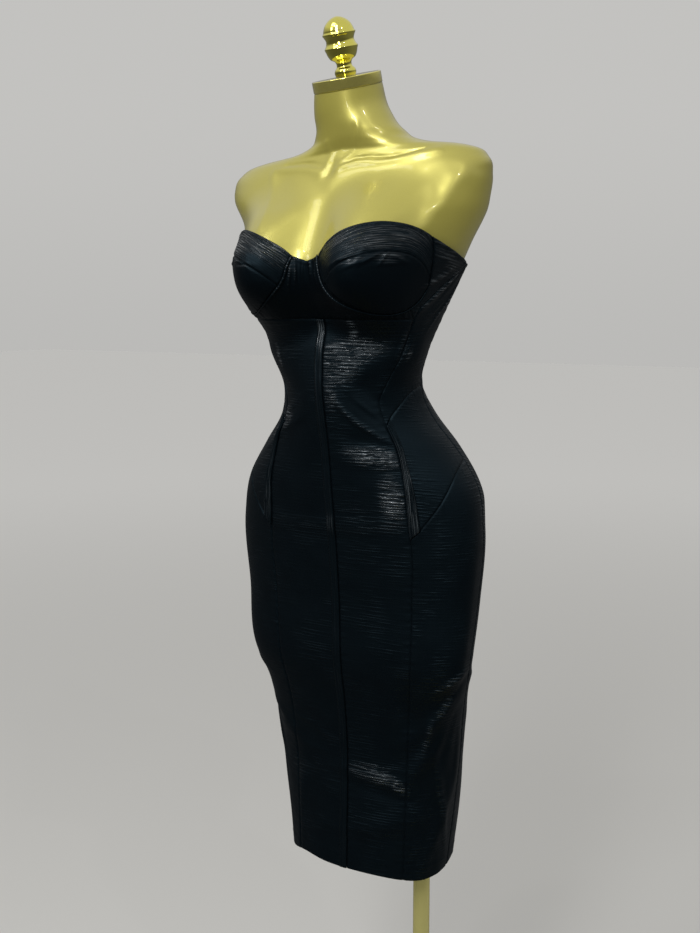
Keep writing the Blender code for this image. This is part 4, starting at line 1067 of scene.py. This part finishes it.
def addEdging(side):
    # a round roll carried along the cup's outline, a little uneven
    share = np.linspace(0, 1, edging["steps"])
    line = atShares(lines["cup"], share)
    heights, turns = line[:, 0], line[:, 1] * side
    shape = np.array(edging["near" if side > 0 else "far"])
    girth, rise = (np.interp(share, shape[:, 0], shape[:, k]) for k in (1, 2))
    out = cloth["clear"] + ridges(heights, turns, folds) + cloth["wall"] + edging["air"] * rise
    out = out + edging["radius"] * rise
    normals = bodyNormals(heights, turns)
    path = bodySurface(heights, turns) + normals * out[:, None]
    across = unit(np.cross(unit(np.gradient(path, axis=0)), normals))
    reach = runningLength(np.linalg.norm(np.diff(path, axis=0), axis=1))
    radius = edging["radius"] * girth * (1 + edging["uneven"] * wander(reach, 3.0))
    angles = np.arange(edging["sides"]) * 2 * math.pi / edging["sides"]
    rings = path[:, None] + radius[:, None, None] * (np.cos(angles)[None, :, None] * normals[:, None]
                                                   + np.sin(angles)[None, :, None] * across[:, None])
    quads, caps = closedFaces(*rings.shape[:2])
    uv = stripGrid(reach, angles * edging["radius"])[..., ::-1].reshape(-1, 2)
    slack = np.repeat(edging["slack"] * np.clip(1 - share / edging["slackTo"], 0, 1), edging["sides"])
    item = addMesh("cupEdging" + sideNames[side], np.concatenate([rings.reshape(-1, 3), path[[0, -1]]]),
                   quads[:, ::side], caps[:, ::side], np.append(uv, np.zeros((2, 2)), axis=0),
                   {"slack": np.append(slack, [0, 0]), "seam": np.zeros(len(slack) + 2)})
    return ready(item, "plain", [nodeFor("cup_edging", side)])


for side in (1, -1):
    addEdging(side)

stitch = {
    "length": 0.0026, "gap": 0.0012, "radius": 0.00026, "rise": 0.0002,
    "fromTop": 0.0036, "aboveHem": 0.017, "fromRim": 0.0022, "hemPoints": 200,
    "corners": np.array([(0, 2, 3), (0, 3, 4), (0, 4, 5), (0, 5, 2), (1, 3, 2), (1, 4, 3), (1, 5, 4),
                         (1, 2, 5)]),
}


def addStitches(name, line, lift):
    # a row of small threads along a line of heights and turns, each drawn out to two points, with
    # four corners round its middle
    reach = metricReach(line)
    count = int(reach[-1] / (stitch["length"] + stitch["gap"]))
    middles = (np.arange(count) + 0.5) * (stitch["length"] + stitch["gap"])
    shares = (middles[:, None] + np.array([-0.5, 0, 0.5]) * stitch["length"]) / reach[-1]
    ends = atShares(line, np.clip(shares, 0, 1).ravel()).reshape(count, 3, 2)
    heights, turns = ends[..., 0] + hemShift(ends[..., 0], ends[..., 1]), ends[..., 1]
    out, _ = clothLift(heights, turns, [], lift + stitch["rise"])
    normals = bodyNormals(heights, turns)
    first, middle, last = np.moveaxis(bodySurface(heights, turns) + normals * out[..., None], 1, 0)
    normal = normals[:, 1] * stitch["radius"]
    across = unit(np.cross(last - first, normal)) * stitch["radius"]
    points = np.stack([first, last, middle + normal, middle + across, middle - normal, middle - across],
                      axis=1)
    triangles = (stitch["corners"][None] + 6 * np.arange(count)[:, None, None]).reshape(-1, 3)
    uv = np.stack([turnLength(turns[:, :1]), heights[:, :1]], axis=-1).repeat(6, axis=1).reshape(-1, 2)
    item = addMesh(name, points.reshape(-1, 3), np.zeros((0, 4), int), triangles, uv,
                   {"slack": np.zeros(6 * count), "seam": np.zeros(6 * count)})
    return ready(item, "thread", [])


def besideRim(width):
    # the tape's column that its stitches follow
    return np.argmin(np.abs(tapeAcross - 1 + stitch["fromRim"] / width))


neckLine = lines["neck"] - np.array([stitch["fromTop"], 0])
hemTurns = np.linspace(0.5, 179.5, stitch["hemPoints"])
hemLine = np.stack([np.full_like(hemTurns, hemHeight + stitch["aboveHem"]), hemTurns], axis=-1)
for side in (1, -1):
    mirror = np.array([1, side])
    addStitches("neckStitches" + sideNames[side], neckLine * mirror, cloth["wall"] + cloth["bandLift"])
    addStitches("hemStitches" + sideNames[side], hemLine * mirror, cloth["wall"] + cloth["hemLift"])
    addStitches("hipTapeStitches" + sideNames[side], hipGrid[:, besideRim(tape["hipWidth"])] * mirror,
                tape["lift"])
addStitches("casingStitches", casingGrid[:, besideRim(tape["casingWidth"])] * np.array([1, -1]), tape["lift"])
for side in (1, -1):
    zipLine = stripGrid(zipHeights, np.array([180 - side * zipTurn * tape["zipStitches"]]))[:, 0]
    addStitches("zipStitches" + sideNames[side], zipLine, tape["lift"])
print("tapes, edgings and stitches ready")

# the dress form
form = {
    "bottom": 0.744,
    "tuck": 0.0031,
    "tuckTo": 1.276,
    "tuckFade": 0.044,
    "rows": 300,
    "fineRows": 900,
    "columns": 220,
    "frontShare": 0.25,        # draws the columns towards the front
    "sharpFrom": 50,
    "reliefSteps": 40,
    # low relief: height and turn points, half width, depth
    "relief": [
        # collar bones, with the groove above each, and the notch between them
        ([(1.366, 1.5), (1.371, 5), (1.373, 11), (1.371, 18), (1.372, 26), (1.376, 36), (1.379, 48)],
         0.0055, 0.002),
        ([(1.368, 0.5), (1.373, 3.5), (1.378, 8), (1.379, 15), (1.377, 22), (1.379, 29), (1.383, 41)],
         0.0024, -0.0018),
        ([(1.364, -5), (1.37, -8.5), (1.374, -14), (1.376, -20), (1.377, -30)], 0.0045, 0.0013),
        ([(1.374, -6), (1.381, -13.5), (1.383, -19), (1.383, -30)], 0.003, -0.0012),
        ([(1.362, -1.5), (1.373, -1.5)], 0.006, -0.0022),
        # neck tendons
        ([(1.37, 1), (1.381, 5), (1.398, 12), (1.418, 24)], 0.004, 0.0009),
        ([(1.37, -3), (1.388, -5), (1.402, -19)], 0.004, 0.0009),
        # where the arms begin: an edge and the hollow beside it
        ([(1.376, -33.5), (1.357, -27.5), (1.339, -24), (1.318, -21.5), (1.3, -21)], 0.0045, 0.0011),
        ([(1.36, -23), (1.342, -17.5), (1.317, -15.5)], 0.014, -0.0014),
        ([(1.3, 42), (1.325, 45), (1.345, 48)], 0.016, -0.0016),
        ([(1.296, 52), (1.31, 51), (1.329, 55), (1.343, 59), (1.354, 65)], 0.009, 0.0014),
    ],
}


def reliefHeight(points):
    # each line adds depth * exp(-(nearest distance to it / half width)^2)
    total = np.zeros(points.shape[:-1])
    for places, halfWidth, depth in form["relief"]:
        line = atShares(np.array(places, float), np.linspace(0, 1, form["reliefSteps"]))
        nearest = np.full(points.shape[:-1], np.inf)
        for place in bodySurface(line[:, 0], line[:, 1]):
            nearest = np.minimum(nearest, np.linalg.norm(points - place, axis=-1))
        total += depth * bell(nearest, halfWidth)
    return total


def formHeights():
    # rows evenly spaced along the side's outline
    fine = np.linspace(form["bottom"], body["top"], form["fineRows"])
    reach = runningLength(np.hypot(np.diff(fine), np.diff(sectionAt(fine, 1)[0])))
    return np.interp(np.linspace(0, reach[-1], form["rows"]), reach, fine)


def addForm():
    # the whole body from its end up, tucked in under the dress; columns are closer at the front
    steps = np.arange(form["columns"]) * 2 * math.pi / form["columns"]
    heights, turns = np.meshgrid(formHeights(), np.degrees(steps - form["frontShare"] * np.sin(steps)),
                                 indexing="ij")
    tuck = form["tuck"] * (1 - smoothStep((heights - form["tuckTo"]) / form["tuckFade"]))
    points = standOff(heights, turns, reliefHeight(bodySurface(heights, turns)) - tuck)
    points[0, :, 2] = form["bottom"]
    centres = np.array([points[0].mean(axis=0), points[-1].mean(axis=0)])
    item = addMesh("formTorso", np.concatenate([points.reshape(-1, 3), centres]),
                   *closedFaces(*heights.shape))
    item.data.set_sharp_from_angle(angle=math.radians(form["sharpFrom"]))
    return ready(item, "paint", ["form_torso"])


addForm()
print("form ready")

# cap, finial, pole and base: turned pieces, heights and radii above their own foot
stand = {
    "fit": 0.0003,
    # radius, thickness and bevel
    "cap": (0.042, 0.0135, 0.0012),
    "socket": (0.028, 0.012, 0.0012),
    "collar": (0.022, 0.034, 0.0012),
    "base": (0.18, 0.006, 0.0015),
    "poleRadius": 0.011,
    "poleBevel": 0.0008,
    "finial": [(0, 0.0122), (0.0053, 0.013), (0.008, 0.012), (0.0112, 0.0094), (0.0152, 0.0092),
               (0.0173, 0.0102), (0.0208, 0.0152), (0.0251, 0.0176), (0.0294, 0.019), (0.0333, 0.02),
               (0.0345, 0.0192), (0.0379, 0.0174), (0.0414, 0.0168), (0.0457, 0.0184), (0.0492, 0.0199),
               (0.0504, 0.019), (0.0535, 0.018), (0.0592, 0.0154), (0.0641, 0.0106), (0.067, 0.0054),
               (0.0682, 0.001)],
    "finialRows": 120,
    "sides": 72,
    "sharpFrom": 32,
}


def roundedDisc(radius, thickness, bevel):
    # outline of a disc with quarter-round edges
    arc = np.linspace(0, math.pi / 2, 7)
    lower = np.stack([bevel * (1 - np.cos(arc)), radius - bevel * (1 - np.sin(arc))], axis=-1)
    return np.concatenate([lower, np.stack([thickness - lower[::-1, 0], lower[::-1, 1]], axis=-1)])


def smoothProfile(points, count):
    # smooth curve through a profile's points, by distance along it
    table = np.array(points, float)
    return throughPoints(table, runningLength(np.hypot(*np.diff(table, axis=0).T)), count)


def addTurned(name, node, profile, place, upward, finish):
    # the profile carried round its axis, closed at a point on the axis at each end
    angles = np.arange(stand["sides"]) * 2 * math.pi / stand["sides"]
    rings = np.stack([profile[:, 1:] * np.cos(angles), profile[:, 1:] * np.sin(angles),
                      np.repeat(profile[:, :1], len(angles), axis=1)], axis=-1)
    flat = np.concatenate([rings.reshape(-1, 3), [[0, 0, profile[0, 0]], [0, 0, profile[-1, 0]]]])
    rightward = unit(np.cross([0.0, 1.0, 0.0], upward))
    flat = flat @ np.stack([rightward, np.cross(upward, rightward), upward]) + np.array(place)
    item = addMesh(name, flat, *closedFaces(*rings.shape[:2]))
    item.data.set_sharp_from_angle(angle=math.radians(stand["sharpFrom"]))
    return ready(item, finish, [node])


level = np.array([0.0, 0.0, 1.0])
lean = unit(np.array([-neckSlope(body[tilt], body["top"]) for tilt in ("neckLean", "neckTilt")] + [1.0]))
neckTop = np.array([body["x"] + neckShift(body["top"]), body["y"] + body["sections"][-1, 4], body["top"]])
capAt = neckTop + lean * stand["fit"]
finialAt = capAt + lean * (stand["cap"][1] + stand["fit"])
socketBottom = form["bottom"] - stand["fit"] - stand["socket"][1]
collarBottom = stand["base"][1] + stand["fit"]
poleBottom = collarBottom + stand["collar"][1] + stand["fit"]
poleHeight = socketBottom - stand["fit"] - poleBottom
for turned in (
        ("neckCap", "neck_cap", roundedDisc(*stand["cap"]), capAt, lean, "chrome"),
        ("finialKnob", "finial", smoothProfile(stand["finial"], stand["finialRows"]), finialAt, lean,
         "polish"),
        ("socketDisc", "pole_socket", roundedDisc(*stand["socket"]), (0, 0, socketBottom), level, "chrome"),
        ("poleTube", "pole", roundedDisc(stand["poleRadius"], poleHeight, stand["poleBevel"]),
         (0, 0, poleBottom), level, "pole"),
        ("baseCollar", "base_collar", roundedDisc(*stand["collar"]), (0, 0, collarBottom), level, "chrome"),
        ("basePlate", "base_plate", roundedDisc(*stand["base"]), (0, 0, 0), level, "satin")):
    addTurned(*turned)
print("stand ready")

# floor, light and camera
studio = {
    "floorSize": 40,
    "floorLines": 9,
    "floorHeight": -0.0005,
    # floor colour by distance from the pole, painted lighter far off to make up for the lamps' light that
    # falls off there, and the backdrop's by the sine of the elevation
    "floor": [(1, (0.66, 0.65, 0.62)), (7, (0.9, 0.89, 0.86))],
    "backdrop": [(-0.06, (0.497, 0.493, 0.48)), (0.16, (0.545, 0.54, 0.525))],
    # the surroundings' light by elevation, in front of the form and behind it
    "frontLight": 0.085,
    "backLight": 0.16,
    "topLight": 0.62,
    "sidesFrom": (-0.6, 0.8),
    "topFrom": (0.12, 0.5),
    # name, place, aim, size across and up, power in watts, colour
    "lights": [
        ("frontSoft", (0.3, -2, 2.6), (-0.08, -0.08, 1.15), 0.4, 1.2, 21, (0.98, 0.99, 1)),
        ("overhead", (-0.55, -1.1, 2.8), (-0.08, 0, 1.3), 0.75, 0.75, 6.5, (0.98, 0.99, 1)),
        ("leftSoft", (-1, -1.85, 2.4), (-0.08, 0, 1.25), 0.4, 0.4, 3.2, (0.98, 0.99, 1)),
        ("neckStrip", (0.38, -1.75, 1.98), (-0.08, -0.06, 1.42), 0.1, 0.9, 3.4, (1, 0.99, 0.97)),
        ("spotLeft", (-0.3, -1.4, 2.6), (-0.08, 0, 1.35), 0.05, 0.05, 1.4, (1, 1, 1)),
        ("spotRight", (1.1, -1, 2.5), (-0.08, 0, 1.35), 0.05, 0.05, 1.8, (1, 1, 1)),
    ],
    "cameraPlace": (0.6698, -1.3505, 1.214),
    "cameraTurn": (82, 0, 30),
    "lens": 46.3,
    "sensor": 36,
}


def addFloor():
    # level grid, its tone painted darker near the pole, where the lamps fall, and lighter far off
    steps = np.linspace(-studio["floorSize"] / 2, studio["floorSize"] / 2, studio["floorLines"])
    x, y = np.meshgrid(steps, steps, indexing="xy")
    points = np.stack([x, y, np.full_like(x, studio["floorHeight"])], axis=-1).reshape(-1, 3)
    floor = addMesh("studioFloor", points, gridFaces(*x.shape))
    material, tree, shader = newMaterial("paleFloor")
    (near, nearColour), (far, farColour) = studio["floor"]
    away = newNode(tree, "VectorMath")
    away.operation = "LENGTH"
    feed(away.inputs[0], newNode(tree, "TexCoord").outputs["Object"])
    fill(shader, Base_Color=mixNode(rangeNode(away.outputs["Value"], near, far), nearColour, farColour),
         Roughness=1.0, Specular_IOR_Level=0.0)
    floor.data.materials.append(material)
    floor.visible_glossy = False


def addWorld():
    # the camera sees a pale backdrop that meets the floor's tone; the object is lit by dim sides
    # and a pale ceiling
    world = bpy.data.worlds.new("studioWorld")
    world.use_nodes = True
    tree = world.node_tree
    _, y, z = newNode(tree, "SeparateXYZ", Vector=newNode(tree, "TexCoord").outputs["Generated"]).outputs
    sides = rangeNode(y, *studio["sidesFrom"], studio["frontLight"], studio["backLight"])
    light = mixNode(rangeNode(z, *studio["topFrom"]), sides, studio["topLight"], "FLOAT")
    (low, lowColour), (high, highColour) = studio["backdrop"]
    seen = mixNode(rangeNode(z, low, high), lowColour, highColour)
    cameraRay = newNode(tree, "LightPath").outputs["Is Camera Ray"]
    feed(tree.nodes["Background"].inputs["Color"], mixNode(cameraRay, light, seen))
    bpy.context.scene.world = world


def addLights():
    for name, place, aim, width, height, power, colour in studio["lights"]:
        data = bpy.data.lights.new(name, "AREA")
        data.shape = "RECTANGLE"
        data.size, data.size_y, data.energy, data.color = width, height, power, colour
        lamp = bpy.data.objects.new(name, data)
        lamp.location = place
        lamp.rotation_euler = (Vector(aim) - Vector(place)).to_track_quat("-Z", "Y").to_euler()
        bpy.context.scene.collection.objects.link(lamp)


def addCamera():
    data = bpy.data.cameras.new("studioCamera")
    data.lens, data.sensor_width = studio["lens"], studio["sensor"]
    camera = bpy.data.objects.new("studioCamera", data)
    camera.location = studio["cameraPlace"]
    camera.rotation_euler = [math.radians(angle) for angle in studio["cameraTurn"]]
    bpy.context.scene.collection.objects.link(camera)
    bpy.context.scene.camera = camera


addFloor()
addWorld()
addLights()
addCamera()
bpy.context.scene.view_settings.view_transform = "Standard"
print("studio ready")
